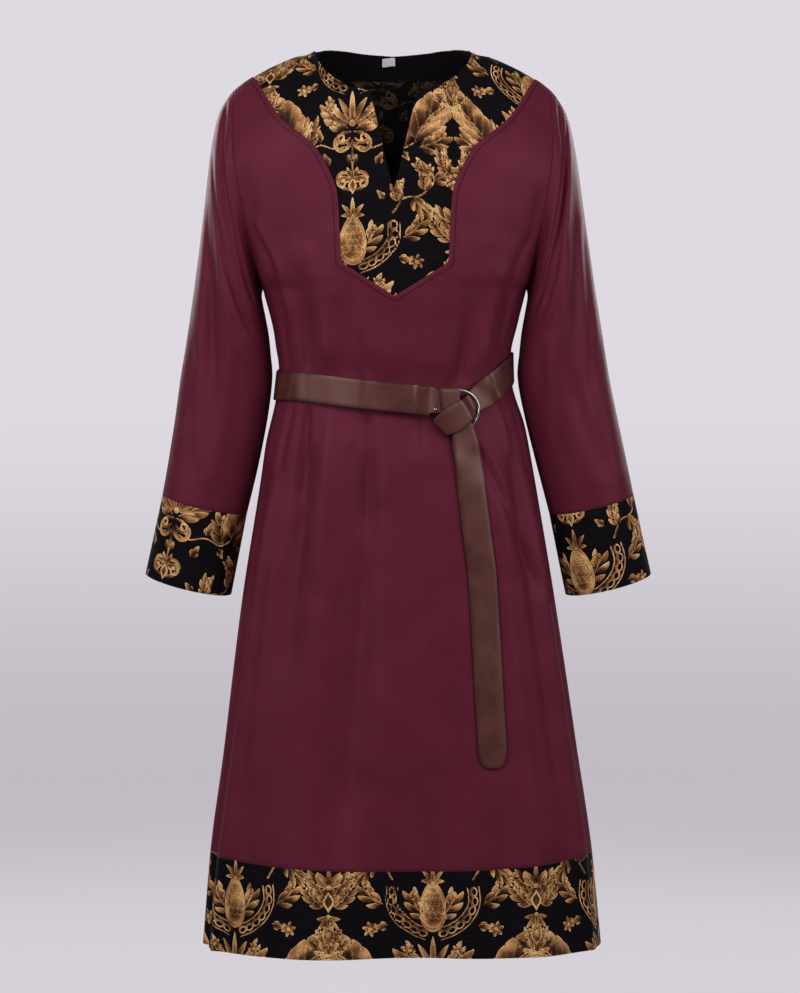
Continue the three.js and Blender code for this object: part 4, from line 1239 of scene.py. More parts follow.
    def scroll(self, u: float, v: float, angle: float, length: float, bend: float, thick: float) -> None:
        """Lay a scroll that swells, winds in and ends in a round eye."""
        widths = (thick * 0.4, thick, thick * 0.85, thick * 0.6, thick * 0.5)
        line = self.curved(u, v, angle, length, bend * 1.5, widths, 1.7, 60)
        self.stroke(line[:, :3], 1.3, tone=(0.35, 0.9))
        eye = line[-1]
        self.dot(eye[0], eye[1], thick * 0.85, -0.2, 0.9)

    def vine(self, points: Rows, width: float = 1.3) -> Array:
        """Lay a thin stem through a few places, and give its line."""
        line = spline([(*p, width) for p in points], 30)
        self.stroke(line, 1.2, tone=(0.45, 0.75))
        return line

    def leaf(self, u: float, v: float, angle: float, length: float, bend: float, width: float,
             pairs: int = 4) -> None:
        """Lay a long leaf of pointed lobes on both sides of its rib, the lower over the upper."""
        line = self.curved(u, v, angle, length, bend, (1.6, 1.5, 1.2, 0.9), count=30)
        tip = line[20]
        self.lobe(tip[0], tip[1], math.degrees(tip[3]), length * 0.42, bend * 0.3, width * 0.2)
        for k in reversed(range(pairs)):
            share = 0.1 + 0.62 * k / max(pairs - 1, 1)
            foot = line[int(share * 29)]
            size = width * (0.72 + 0.75 * math.sin(math.pi * (0.22 + 0.6 * share)))
            for side in (1.0, -1.0):
                start = math.degrees(foot[3]) + side * (50.0 - 12.0 * share)
                self.lobe(foot[0], foot[1], start, size, -side * 44.0, size * 0.17)
        self.stroke(line[:26, :3], 0.9, tone=(0.2, 0.6))

    def palmette(self, u: float, v: float, angle: float, size: float, petals: int, spread: float,
                 width: float = 0.1) -> None:
        """Lay a fan of petals, the middle one tallest, round a small heart."""
        middle = (petals - 1) / 2.0
        for k in sorted(range(petals), key=lambda i: -abs(i - middle)):
            share = (k - middle) / max(middle, 1.0)
            length = size * (1.0 - 0.42 * abs(share) ** 1.3)
            self.lobe(u, v, angle + share * spread, length, share * 34.0, size * width)
        self.dot(u, v, size * 0.09, 1.2, 0.9)

    def chain(self, points: Rows, links: int, size: float) -> None:
        """Lay a ribbon of open ovals between two thin borders."""
        line = spline(points, links * 2 + 1)
        ahead = unit(np.gradient(line[:, :2], axis=0))
        side = np.stack([-ahead[:, 1], ahead[:, 0]], axis=1)
        for offset in (1.0, -1.0):
            border = line[:, :2] + side * offset * size * 1.3
            self.stroke(np.column_stack([border, np.full(len(border), 1.0)]), 1.0, tone=(0.4, 0.7))
        turn = np.linspace(0.0, 2 * math.pi, 19)
        for k in range(1, len(line), 2):
            ring = line[k, :2] + np.outer(np.cos(turn), ahead[k]) * size + np.outer(np.sin(turn),
                                                                                    side[k]) * size * 0.7
            self.stroke(np.column_stack([ring, 1.5 + 0.5 * np.sin(turn)]), 0.7, tone=(0.3, 0.8))

    def lozenge(self, u: float, v: float, half: float, tall: float) -> None:
        """Lay a diamond with a light border and a dark line inside it."""
        t = np.linspace(-1.0, 1.0, 9)
        for size, gap, tone in ((1.0, 1.3, 0.85), (0.62, 0.9, 0.22)):
            line = np.stack([np.full(9, u), v + t * tall * size, half * size * (1.0 - np.abs(t)) + 0.3],
                            axis=1)
            self.stroke(line, gap, tone=(tone, tone))

    def bud(self, u: float, v: float, angle: float, size: float) -> None:
        """Lay a closed bud between two small sepals."""
        for side in (1.0, -1.0):
            self.lobe(u, v, angle + side * 58.0, size * 0.62, -side * 66.0, size * 0.1)
        self.lobe(u, v, angle, size, 8.0, size * 0.2)

    def blossom(self, u: float, v: float, size: float, petals: int, turn: float) -> None:
        """Lay a round blossom of broad petals."""
        for k in range(petals):
            self.lobe(u, v, turn + 360.0 * k / petals, size, 14.0, size * 0.24)
        self.dot(u, v, size * 0.22, 1.2, 0.95)

    def fruit(self, u: float, v: float, half: float, tall: float) -> None:
        """Lay a large pointed fruit on the mirror line, its face cut with curved veins and scales."""
        t = np.linspace(-1.0, 1.0, 15)
        shape = half * np.sqrt(np.maximum(1.0 - np.abs(t) ** 2.2, 0.0)) * (1.0 - 0.28 * t) + 0.4
        line = np.stack([np.full(15, u), v + t * tall, shape], axis=1)
        self.stroke(line, 1.6, tone=(0.35, 0.8))
        inner = line.copy()
        inner[:, 1] = v + t * (tall - 4.5)
        inner[:, 2] = np.maximum(inner[:, 2] - 4.4, 0.3)
        self.stroke(inner, 1.0, tone=(0.3, 0.62))
        for row in range(5):
            level = v - tall * 0.66 + row * tall * 0.3
            wide = max(half * (0.78 - 0.11 * row), 4.0)
            for k in (-1.0, 0.0, 1.0):
                if abs(k) * wide * 0.62 > wide:
                    continue
                centre = u + (k * 0.62 + (0.31 if row % 2 else 0.0)) * wide
                arc = [(centre + wide * 0.3 * math.sin(a), level + wide * 0.42 * (1 - math.cos(a)) * 0.9,
                        0.55)
                       for a in np.linspace(-1.9, 1.9, 9)]
                self.stroke(np.array(arc), 0.0, carve=True)

    def draw(self) -> None:
        """Lay all the figures of the half repeat, the lowest first."""
        # on the first mirror line, a tall palmette over a pair of scrolls
        self.vine([(4, 22), (30, 16), (58, 24), (84, 16), (104, 26)])
        self.leaf(8, 50, 28, 62, 40, 24, 4)
        self.palmette(0, 58, 90, 58, 7, 74, 0.085)
        self.scroll(3, 44, -6, 92, -285, 3.6)
        self.scroll(4, 34, -50, 50, 245, 2.8)
        self.leaf(0, 30, -90, 30, 0, 13, 2)
        # a broad spray climbs across the half to the second mirror line
        self.leaf(104, 26, 70, 96, -46, 40, 5)
        self.leaf(92, 20, 128, 46, -52, 22, 3)
        self.leaf(112, 18, 8, 48, 42, 22, 3)
        self.bud(58, 30, 74, 22)
        self.bud(84, 10, -60, 18)
        # on the second mirror line, a diamond in a crown of leaves
        self.leaf(164, 166, 152, 40, -34, 18, 3)
        self.leaf(164, 182, 118, 40, 34, 17, 3)
        self.lozenge(170, 173, 8.5, 17)
        self.palmette(170, 196, 90, 38, 5, 62, 0.1)
        self.palmette(170, 150, -90, 34, 5, 62, 0.1)
        # a ribbon of ovals bows over the first mirror line
        self.chain([(10, 118, 1), (34, 128, 1), (56, 146, 1), (68, 170, 1), (66, 196, 1)], 7, 7.2)
        self.bud(76, 134, -12, 22)
        self.leaf(84, 168, 20, 42, 54, 19, 3)
        # a cut fruit under it, in leaves
        self.leaf(12, 146, 36, 46, 46, 20, 3)
        self.fruit(0, 166, 21, 34)
        self.palmette(0, 202, 90, 34, 5, 66, 0.1)
        self.blossom(104, 128, 13, 6, 10)
        # above, a vine with leaves and loose buds
        line = self.vine([(66, 208), (84, 232), (112, 238), (134, 262), (128, 290)], 1.5)
        for at, turn, size, bend in ((5, 62, 34, -40), (11, -66, 40, 44), (17, 60, 36, -40),
                                     (22, -60, 40, 44), (26, 58, 30, -36)):
            ahead = line[at + 1] - line[at]
            self.leaf(line[at, 0], line[at, 1], math.degrees(math.atan2(ahead[1], ahead[0])) + turn, size,
                      bend, size * 0.44, 3)
        self.scroll(2, 246, 12, 84, 280, 3.4)
        self.scroll(2, 262, 40, 52, -250, 2.8)
        self.lozenge(0, 254, 7, 14)
        self.leaf(0, 268, 90, 30, 0, 14, 2)
        self.bud(40, 290, 60, 22)
        self.bud(52, 232, 128, 18)
        self.blossom(168, 262, 15, 8, 22)
        self.leaf(160, 276, 128, 36, -40, 16, 3)
        self.bud(150, 100, 140, 20)
        self.leaf(168, 92, 96, 34, 20, 15, 3)
        self.blossom(40, 92, 11, 6, 0)

    def sample(self, flat: Array) -> Array:
        """The figures at places on the cloth.

        Args:
            flat: Places in mm.

        Returns:
            For each, the distance inside a figure, and the share along and across its stroke.
        """
        flat = flat * self.FINER
        u = np.abs((flat[:, 0] + self.WIDTH / 2) % self.WIDTH - self.WIDTH / 2) / self.STEP - 0.5
        v = (flat[:, 1] % self.HEIGHT) / self.STEP - 0.5
        u = np.clip(u, 0.0, self.columns - 1.001)
        i0, j0 = np.floor(u).astype(int), np.floor(v).astype(int)
        tu, tv = u - i0, v - j0
        i1, j0, j1 = i0 + 1, j0 % self.rows, (j0 + 1) % self.rows
        nearest = (np.where(tv > 0.5, j1, j0), np.where(tu > 0.5, i1, i0))
        table = self.inside
        inside = (table[j0, i0] * (1 - tu) + table[j0, i1] * tu) * (1 - tv) + (
            table[j1, i0] * (1 - tu) + table[j1, i1] * tu) * tv
        return np.stack([inside, self.share[nearest], self.across[nearest]], axis=1)


# ---- the pieces
@dataclass(frozen=True)
class Finishes:
    """Every finish of the object, made once."""

    satin: Material
    satin_back: Material
    brocade: Material
    facing: Material
    brocade_back: Material
    leather: Material
    metal: Material
    label: Material
    thread: Material

    @staticmethod
    def make() -> Finishes:
        """Build them all."""
        return Finishes(
            satin=Satin().make(),
            satin_back=Satin("wine satin, wrong side", (84, 33, 46), (72, 27, 38), 0.62, 0.1).make(),
            brocade=Brocade().make(),
            # The facing is the same brocade, with its figures darkened to 0.36 as painted shade inside the
            # back of the neck.
            facing=Brocade("gold brocade, facing", 0.36).make(),
            brocade_back=Plain("brocade, wrong side", (24, 19, 22), 0.85).make(),
            leather=Leather().make(),
            metal=Plain("nickelled steel", (206, 202, 196), 0.2, 1.0, 300.0, 0.00001).make(),
            label=Plain("white label tape", (250, 248, 252), 0.6, 0.0, 1500.0).make(),
            thread=Plain("wine thread", (52, 18, 28), 0.6, 0.0, 3000.0).make(),
        )


def place(obj: Object, nodes: Sequence[str], slot: str) -> Object:
    """Ride a piece on the body, in place of its nodes."""
    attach(obj, BODY_NAME)
    if nodes:
        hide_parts(*nodes)
    LOG.info("%s: %d triangles", obj.name, len(obj.data.polygons))
    return obj


def cloth_sheet(obj: Object) -> None:
    """Measure a closed shell's cut on its cloth, and log its size and area."""
    corner = np.empty(2 * 3 * len(obj.data.polygons), np.float32)
    obj.data.uv_layers["cloth"].uv.foreach_get("vector", corner)
    flat = corner.reshape(-1, 3, 2)
    width, length = (np.ptp(flat[..., k]) * MM for k in (0, 1))
    area = sum(p.area for p in obj.data.polygons) / 2.0
    width, length = max(width, 0.0102), max(length, 0.0102)
    LOG.info("%s: cut %.0f x %.0f mm, %.4f m2", obj.name, width * 1000, length * 1000, area)


class Tailor:
    """Cuts pieces from the body's form."""

    def __init__(self, body: BodyForm, damask: Damask) -> None:
        """Keep the form, its rulers and the pattern."""
        self.body, self.damask = body, damask
        self.rulers = {face: Ruler(body, face) for face in Face}

    @staticmethod
    def levels(bottom: float, top: float, step: float) -> Array:
        """Levels a step apart, closer where the cloth turns over the shoulder."""
        straight_top = min(top, -SHOULDER_ROUNDING)
        count = max(int(round((straight_top - bottom) / step)), 1)
        rows = np.linspace(bottom, straight_top, count + 1)
        if top > -SHOULDER_ROUNDING:
            turns = np.linspace(0, 1, int(round(175.0 / step)) + 1)[1:]
            rows = np.concatenate([rows, -SHOULDER_ROUNDING * (1.0 - np.sin(turns * math.pi / 2))])
        return rows

    def cut(self, name: str, face: Face, patch: Patch, finishes: tuple[Material, Material], sink: float,
            thick: float, bulge: float, lining: Pair, pattern: Pair | None = None,
            inwards: bool = False, shown: Pair | None = None,
            beside: Measure | None = None) -> Object:
        """Make a closed piece of cloth.

        Args:
            name: Its name.
            face: Front or back.
            patch: Its cut.
            finishes: The right side's and the wrong side's.
            sink: How far its outer side lies under the form's surface.
            thick: Its wall.
            bulge: How far its rim rounds out.
            lining: The step of its other side.
            pattern: Where the brocade's repeat starts on it, if it is brocade.
            inwards: Whether its right side faces the wearer.
            shown: The middle and half height of the only strip where figures show.
            beside: Gives the distance from the edge that the cloth is sewn along.

        Returns:
            The object.
        """
        s, level = patch.at.T
        points, normal = self.body.surface(face, s, level)
        edge = (np.abs(level - BAND_TOP) < 0.5) | (np.abs(level - HEM) < 0.5)
        normal[edge, 2] = 0.0
        normal = unit(normal)
        flat = self.rulers[face](patch.at)
        tri = patch.tri if face is Face.FRONT else patch.tri[:, ::-1]
        outer = points - normal * sink
        if inwards:
            outer, normal, tri = outer - normal * thick, -normal, tri[:, ::-1]
        plane = flat * np.array([1.0 if (face is Face.FRONT) != inwards else -1.0, 1.0])
        shell = wall(outer, normal, tri, plane[tri], thick, bulge, lining_of(plane, tri, lining))
        fields = {}
        if beside:
            away = beside(patch.at)
            fields["edge"] = np.stack([away, away * 0.0, away * 0.0], axis=1)[shell.source]
        if pattern:
            figure = self.damask.sample(plane + np.array(pattern))
            if shown is not None:
                figure[:, 0] = np.where(np.abs(points[:, 2] - shown[0]) > shown[1], -3.0, figure[:, 0])
            fields["figure"] = figure[shell.source]
        return mesh_of(name, shell.points, shell.tri, finishes, shell.inside.astype(int), shell.flat, fields)


NECK_LEAN = -6.0
YOKE_LEAN = -4.5


def yoke_outline() -> Outline:
    """The front yoke: over the shoulder, in along a curve, down its column and to its point."""
    curve = [(198, -20), (182, -37), (146, -95), (103, -133), (86, -160), (74, -190), (71, -215)]
    return mirrored([(198, 120), *spline(curve, 40), (68, -283), (0, -326)], YOKE_LEAN)


def back_yoke_outline() -> Outline:
    """The back yoke: one shallow curve below the neck."""
    curve = [(198, -20), (182, -37), (150, -70), (105, -104), (55, -124), (0, -130)]
    return mirrored([(198, 120), *spline(curve, 40)], YOKE_LEAN)


def neck_outline(face: Face) -> Outline:
    """The neck opening, with the slit at the front."""
    if face is Face.BACK:
        return mirrored([(107, 120), *spline([(107, -6), (104, 0.6), (98, 3.4), (90, 7), (80, 9.2),
                                              (62, 9.6), (44, 8), (0, 5)], 40)], NECK_LEAN - 1.0)
    curve = spline([(107, 12), (104, 0), (90, -32), (60, -57)], 24)
    return mirrored([(107, 120), *curve, (36, -62.8), (31.6, -64.6), (29.6, -68), (1.8, -188), (0, -192)],
                    NECK_LEAN)


def facing_outline() -> Outline:
    """The back neck facing, a long tongue inside the back."""
    curve = [(112, 0), (106, -45), (88, -92), (56, -128), (36, -170), (26, -206), (0, -213)]
    return mirrored([(112, 120), *spline(curve, 40)], NECK_LEAN)


@dataclass
class BodyPieces:
    """The satin front and back, the brocade yokes, the facing, the label and the hem bands."""

    satin_cell: float = 5.2
    brocade_cell: float = 1.15
    satin_wall: float = 0.9
    brocade_wall: float = 1.1
    overlap: float = 8.0

    def seen(self, tailor: Tailor, face: Face, outline: Outline) -> Measure:
        """The distance outside an outline, for points of the form."""

        def distance(at: Array) -> Array:
            """The distance at places given as s and level."""
            point = tailor.body.point(face, at[:, 0], np.minimum(at[:, 1], 0.0))
            return outline.distance(point[:, 0], point[:, 2])

        return distance

    def panel(self, tailor: Tailor, face: Face, finishes: Finishes) -> Object:
        """The satin panel of the front or back, cut out round its yoke."""
        outline = yoke_outline() if face is Face.FRONT else back_yoke_outline()
        patch = Patch.grid(np.linspace(-1, 1, 111), tailor.levels(BAND_TOP + SEAM, 0.0, self.satin_cell))
        patch = patch.keep(self.seen(tailor, face, outline), self.satin_cell)
        name = "front_panel" if face is Face.FRONT else "back_panel"
        both = (finishes.satin, finishes.satin_back)
        piece = tailor.cut(f"{name}_cloth", face, patch, both, 0.0, self.satin_wall, 0.15, (4.5, 9.0),
                           beside=self.seen(tailor, face, outline))
        return place(piece, [name], "satin")

    def yoke(self, tailor: Tailor, face: Face, finishes: Finishes) -> Object:
        """The brocade yoke of the front or back, which reaches a little under the satin."""
        front = face is Face.FRONT
        outline, neck = (yoke_outline() if front else back_yoke_outline()), neck_outline(face)
        under, hole = self.seen(tailor, face, outline), self.seen(tailor, face, neck)
        cell = self.brocade_cell if front else 1.35
        low = -345.0 if front else -150.0
        rows = tailor.levels(low, 0.0, cell)
        patch = Patch.grid(np.linspace(-1, 1, int(470 / cell)), rows)
        point = tailor.body.point(face, *patch.at.T)
        rough = outline.distance(point[:, 0], point[:, 2]) < self.overlap + 3 * cell
        patch = Patch(patch.at, patch.tri[rough[patch.tri].all(1)])
        patch = patch.keep(lambda at: self.overlap - under(at), cell).keep(hole, cell)
        name = "front_yoke" if front else "back_yoke"
        both = (finishes.brocade, finishes.brocade_back)
        shift = (52.0, -86.0) if front else (-60.0, 40.0)
        piece = tailor.cut(f"{name}_cloth", face, patch, both, 1.05, self.brocade_wall, 0.5, (5.0, 10.0),
                           shift)
        return place(piece, [name], "brocade")

    def facing(self, tailor: Tailor, finishes: Finishes) -> Object:
        """The brocade facing inside the back of the neck, its right side towards the wearer."""
        face = Face.BACK
        inside, hole = self.seen(tailor, face, facing_outline()), self.seen(tailor, face, neck_outline(face))
        patch = Patch.grid(np.linspace(-0.62, 0.62, 215), tailor.levels(-228.0, 0.0, 1.25))
        patch = patch.keep(lambda at: -inside(at), 1.2).keep(hole, 1.2)
        both = (finishes.facing, finishes.brocade_back)
        piece = tailor.cut("neck_facing_cloth", face, patch, both, 2.3, 0.8, 0.4, (5.0, 9.0), (20.0, 64.0),
                           True, (-66.0, 40.0))
        return place(piece, ["neck_facing"], "brocade")

    def label(self, tailor: Tailor, finishes: Finishes) -> Object:
        """The blank woven label, a folded tape sewn in under the facing's edge."""
        s, level = tailor.body.find(Face.BACK, np.array([-21.5, -4.5]), np.array([2.5, 2.5]))
        bottom = tailor.body.find(Face.BACK, np.array([-13.0]), np.array([-6.5]))[1][0]
        patch = Patch.grid(np.linspace(s[0], s[1], 13), np.linspace(bottom, level[0], 9))
        piece = tailor.cut("neck_label_tape", Face.BACK, patch, (finishes.label, finishes.label), 3.25, 0.8,
                           0.3, (3.0, 3.0), None, True)
        return place(piece, ["neck_label"], "label")

    def hem(self, tailor: Tailor, face: Face, finishes: Finishes) -> Object:
        """The brocade band round the hem, front or back."""
        front = face is Face.FRONT
        cell = 1.1 if front else 1.55
        patch = Patch.grid(np.linspace(-1, 1, int(660 / cell)), tailor.levels(HEM, BAND_TOP, cell))
        name = "hem_band_front" if front else "hem_band_back"
        both = (finishes.brocade, finishes.brocade_back)
        shift = (-40.0, 62.0) if front else (96.0, 62.0)
        piece = tailor.cut(f"{name}_cloth", face, patch, both, 0.05, 1.4, 0.5, (5.0, 14.0), shift)
        return place(piece, [name], "brocade")

    def build(self, tailor: Tailor, finishes: Finishes) -> list[Object]:
        """Make every piece of the body and log its cloth's size."""
        made = []
        for face in Face:
            made += [self.panel(tailor, face, finishes), self.yoke(tailor, face, finishes),
                     self.hem(tailor, face, finishes)]
        made += [self.facing(tailor, finishes), self.label(tailor, finishes)]
        for piece in made:
            cloth_sheet(piece)
        return made


@dataclass
class SleevePieces:
    """A satin sleeve and its brocade cuff."""

    side: Side
    satin_columns: int = 100
    brocade_cell: float = 1.08

    def tube(self, name: str, points: Array, ends: dict[int, Array], materials: tuple[Material, Material],
             thick: float, bulge: float, damask: Damask | None, shift: Pair,
             lining: Pair) -> Object:
        """Close a grid of rings into a tube of cloth.

        Args:
            name: The object's name.
            points: Rings of points from the top down, without the last column repeated.
            ends: The directions out of the cloth at a row, or one direction its edge is square to.
            materials: The right side's and the wrong side's.
            thick: The wall.
            bulge: How far its rims round out.
            damask: The pattern, if it is brocade.
            shift: Where the pattern starts.
            lining: The step of the inner side.

        Returns:
            The object.
        """
        rows, columns = points.shape[:2]
        across = np.roll(points, -1, axis=1) - np.roll(points, 1, axis=1)
        down = np.gradient(points, axis=0)
        normal = unit(np.cross(down, across))
        centre = points.mean(axis=1, keepdims=True)
        if np.sum(normal * (points - centre)) < 0:
            normal = -normal
        for row, value in ends.items():
            if value.ndim == 2:
                normal[row] = value
            else:
                normal[row] = unit(normal[row] - np.sum(normal[row] * value, axis=1, keepdims=True) * value)
        girth = float(np.mean(np.sum(norm(across, axis=2), axis=1)) / 2.0)
        drop = np.concatenate([[0.0], np.cumsum(norm(np.diff(points, axis=0), axis=2).mean(axis=1))])
        u, v = np.linspace(0.0, girth, columns + 1), drop[-1] - drop
        again = np.stack(np.broadcast_arrays(u[None, :], v[:, None]), -1).reshape(-1, 2)
        back = (np.arange(rows)[:, None] * columns + np.arange(columns + 1)[None] % columns).ravel()
        a = (np.arange(rows - 1)[:, None] * (columns + 1) + np.arange(columns)).reshape(-1)
        b, c, d = a + 1, a + columns + 1, a + columns + 2
        cut_tri = np.concatenate([np.stack([a, b, d], 1), np.stack([a, d, c], 1)])
        tri, flat = back[cut_tri[:, ::-1]], again[cut_tri[:, ::-1]]
        outer, normal = points.reshape(-1, 3), normal.reshape(-1, 3)
        a, b, c = outer[tri[0]]
        if np.dot(np.cross(b - a, c - a), normal[tri[0, 0]]) < 0:
            tri, flat = tri[:, ::-1], flat[:, ::-1]
        lined = back[lining_of(again, cut_tri, lining)]
        a, b, c = (outer[lined[:, k]] for k in range(3))
        wrong = np.sum(np.cross(b - a, c - a) * normal[lined[:, 0]], axis=1) < 0
        if np.mean(wrong) > 0.5:
            lined = lined[:, ::-1]
        shell = wall(outer, normal, tri, flat, thick, bulge, lined)
        fields = {}
        if damask:
            at = np.stack(np.broadcast_arrays(u[None, :-1] / girth * damask.WIDTH, v[:, None]),
                          -1).reshape(-1, 2)
            fields["figure"] = damask.sample(at + np.array(shift))[shell.source]
        return mesh_of(name, shell.points, shell.tri, materials, shell.inside.astype(int), shell.flat,
                       fields)

    def square(self) -> Array:
        """The direction along the sleeve at the cuff seam."""
        top, bottom = ((np.array(r[:2]) + np.array(r[2:4])) / 2.0 for r in SleeveForm.CUFF[:2])
        return unit(np.array([self.side.value * (bottom[0] - top[0]), 0.0, bottom[1] - top[1]]))

    def build(self, body: BodyForm, damask: Damask, finishes: Finishes,
              extra: tuple[Fold, ...]) -> list[Object]:
        """Make the sleeve and the cuff and log their cloth's size."""
        form = SleeveForm(body, self.side, extra)
        side = "left" if self.side is Side.LEFT else "right"
        turns = np.linspace(0.0, 360.0, self.satin_columns, endpoint=False)
        rings = np.linspace(0.0, 9.994, 132)
        points = form.point(rings, turns)
        ends = {0: form.armhole(turns)[1], -1: self.square()}
        both = (finishes.satin, finishes.satin_back)
        sleeve = self.tube(f"sleeve_{side}_cloth", points, ends, both, 0.9, 0.1, None, (0, 0), (4.0, 6.5))
        place(sleeve, [f"sleeve_{side}"], "satin")
        columns = int(335 / self.brocade_cell)
        turns = np.linspace(0.0, 360.0, columns, endpoint=False)
        grid = np.meshgrid(np.linspace(0.003, 2.0, int(106 / self.brocade_cell) + 1), turns, indexing="ij")
        points = form.ring_point(grid[0], grid[1], True, False)
        both = (finishes.brocade, finishes.brocade_back)
        shift = (-118.0, 96.0) if self.side is Side.LEFT else (-52.0, 180.0)
        cuff = self.tube(f"cuff_{side}_cloth", points, {0: self.square()}, both, 1.4, 0.5, damask, shift,
                         (6.0, 12.0))
        place(cuff, [f"cuff_{side}"], "brocade")
        for piece in (sleeve, cuff):
            cloth_sheet(piece)
        return [sleeve, cuff]


@dataclass
class Stitching:
    """A row of small thread stitches on the satin beside each yoke, set by Geometry Nodes."""

    away: float = SEWN_AWAY
    pitch: float = 3.6
    length: float = 2.7
    thickness: float = 0.34
    seed: int = 7

    def tree(self) -> NodeTree:
        """A stitch at each point, turned along the row and a little uneven in length."""
        group = bpy.data.node_groups.new("stitch row", "GeometryNodeTree")
        face = group.interface
        face.new_socket("Geometry", in_out="INPUT", socket_type="NodeSocketGeometry")
        for name in ("Length", "Thickness", "Unevenness"):
            face.new_socket(name, in_out="INPUT", socket_type="NodeSocketFloat")
        face.new_socket("Seed", in_out="INPUT", socket_type="NodeSocketInt")
        face.new_socket("Thread", in_out="INPUT", socket_type="NodeSocketMaterial")
        face.new_socket("Geometry", in_out="OUTPUT", socket_type="NodeSocketGeometry")
        n = Nodes(group)
        given, result = group.nodes.new("NodeGroupInput").outputs, group.nodes.new("NodeGroupOutput")
        thread = n.add("GeometryNodeMeshUVSphere", {"Segments": 6, "Rings": 4, "Radius": 0.5})
        ahead = n.add("GeometryNodeInputNamedAttribute", {"Name": "ahead"}, data_type="FLOAT_VECTOR")
        out = n.add("GeometryNodeInputNamedAttribute", {"Name": "out"}, data_type="FLOAT_VECTOR")
        turn = n.add("FunctionNodeAxesToRotation", {"Primary Axis": ahead.outputs["Attribute"],
                                                    "Secondary Axis": out.outputs["Attribute"]})
        turn.primary_axis, turn.secondary_axis = "X", "Z"
        spread = n.add("FunctionNodeRandomValue", {"Seed": given["Seed"]}, data_type="FLOAT")
        for socket, sign in ((spread.inputs[2], -1.0), (spread.inputs[3], 1.0)):
            group.links.new(n.math("MULTIPLY", given["Unevenness"], sign), socket)
        long = n.math("MULTIPLY_ADD", spread.outputs[1], given["Length"], given["Length"])
        size = n.add("ShaderNodeCombineXYZ", {"X": long, "Y": given["Thickness"], "Z": given["Thickness"]})
        placed = n.add("GeometryNodeInstanceOnPoints",
                       {"Points": given["Geometry"], "Instance": thread.outputs["Mesh"],
                                                        "Rotation": turn.outputs[0],
                                                        "Scale": size.outputs[0]})
        real = n.add("GeometryNodeRealizeInstances", {"Geometry": placed.outputs[0]})
        shaded = n.add("GeometryNodeSetShadeSmooth", {"Geometry": real.outputs[0]})
        dressed = n.add("GeometryNodeSetMaterial",
                        {"Geometry": shaded.outputs[0], "Material": given["Thread"]})
        group.links.new(dressed.outputs[0], result.inputs[0])
        return group

    def row(self, tailor: Tailor, face: Face, outline: Outline, low: float) -> tuple[Array, Array, Array]:
        """Places for the stitches round a yoke, with the directions along the row and out of the cloth."""
        line = outline.path(self.away, 900, low, -22.0)
        line = line[np.abs(line[:, 0]) < 190.0]
        middle = int(np.argmax(norm(np.diff(line, axis=0), axis=1))) + 1
        if norm(line[middle] - line[middle - 1]) > 40.0:
            line = np.roll(line, -middle, axis=0)
        s, level = tailor.body.find(face, line[:, 0], line[:, 1])
        points, out = tailor.body.surface(face, s, level)
        keys = run_along(points)
        at = np.arange(0.5, keys[-1] / self.pitch) * self.pitch
        points, out = (np.stack([np.interp(at, keys, v[:, c]) for c in range(3)], axis=1)
                       for v in (points, out))
        return points + out * 0.12, unit(np.gradient(points, axis=0)), unit(out)

    def build(self, tailor: Tailor, finishes: Finishes) -> None:
        """Sew both rows and make them one plain mesh."""
        rows = [self.row(tailor, Face.FRONT, yoke_outline(), -345.0),
                self.row(tailor, Face.BACK, back_yoke_outline(), -150.0)]
        points, ahead, out = (np.concatenate(v) for v in zip(*rows))
        places = mesh_of("stitch_places", points, np.empty((0, 3), int), [finishes.thread],
                         fields={"ahead": ahead, "out": out})
        rig = places.modifiers.new("stitches", "NODES")
        rig.node_group = self.tree()
        wanted = {"Length": self.length * MM, "Thickness": self.thickness * MM, "Unevenness": 0.12,
                  "Seed": self.seed,
                  "Thread": finishes.thread}
        for socket in rig.node_group.interface.items_tree:
            if socket.in_out == "INPUT" and socket.name in wanted:
                rig[socket.identifier] = wanted[socket.name]
        evaluated = places.evaluated_get(bpy.context.evaluated_depsgraph_get())
        mesh = bpy.data.meshes.new_from_object(evaluated)
        places.modifiers.clear()
        bpy.data.objects.remove(places)
        piece = bpy.data.objects.new("yoke_topstitch", mesh)
        bpy.context.scene.collection.objects.link(piece)
        place(piece, [], "satin")


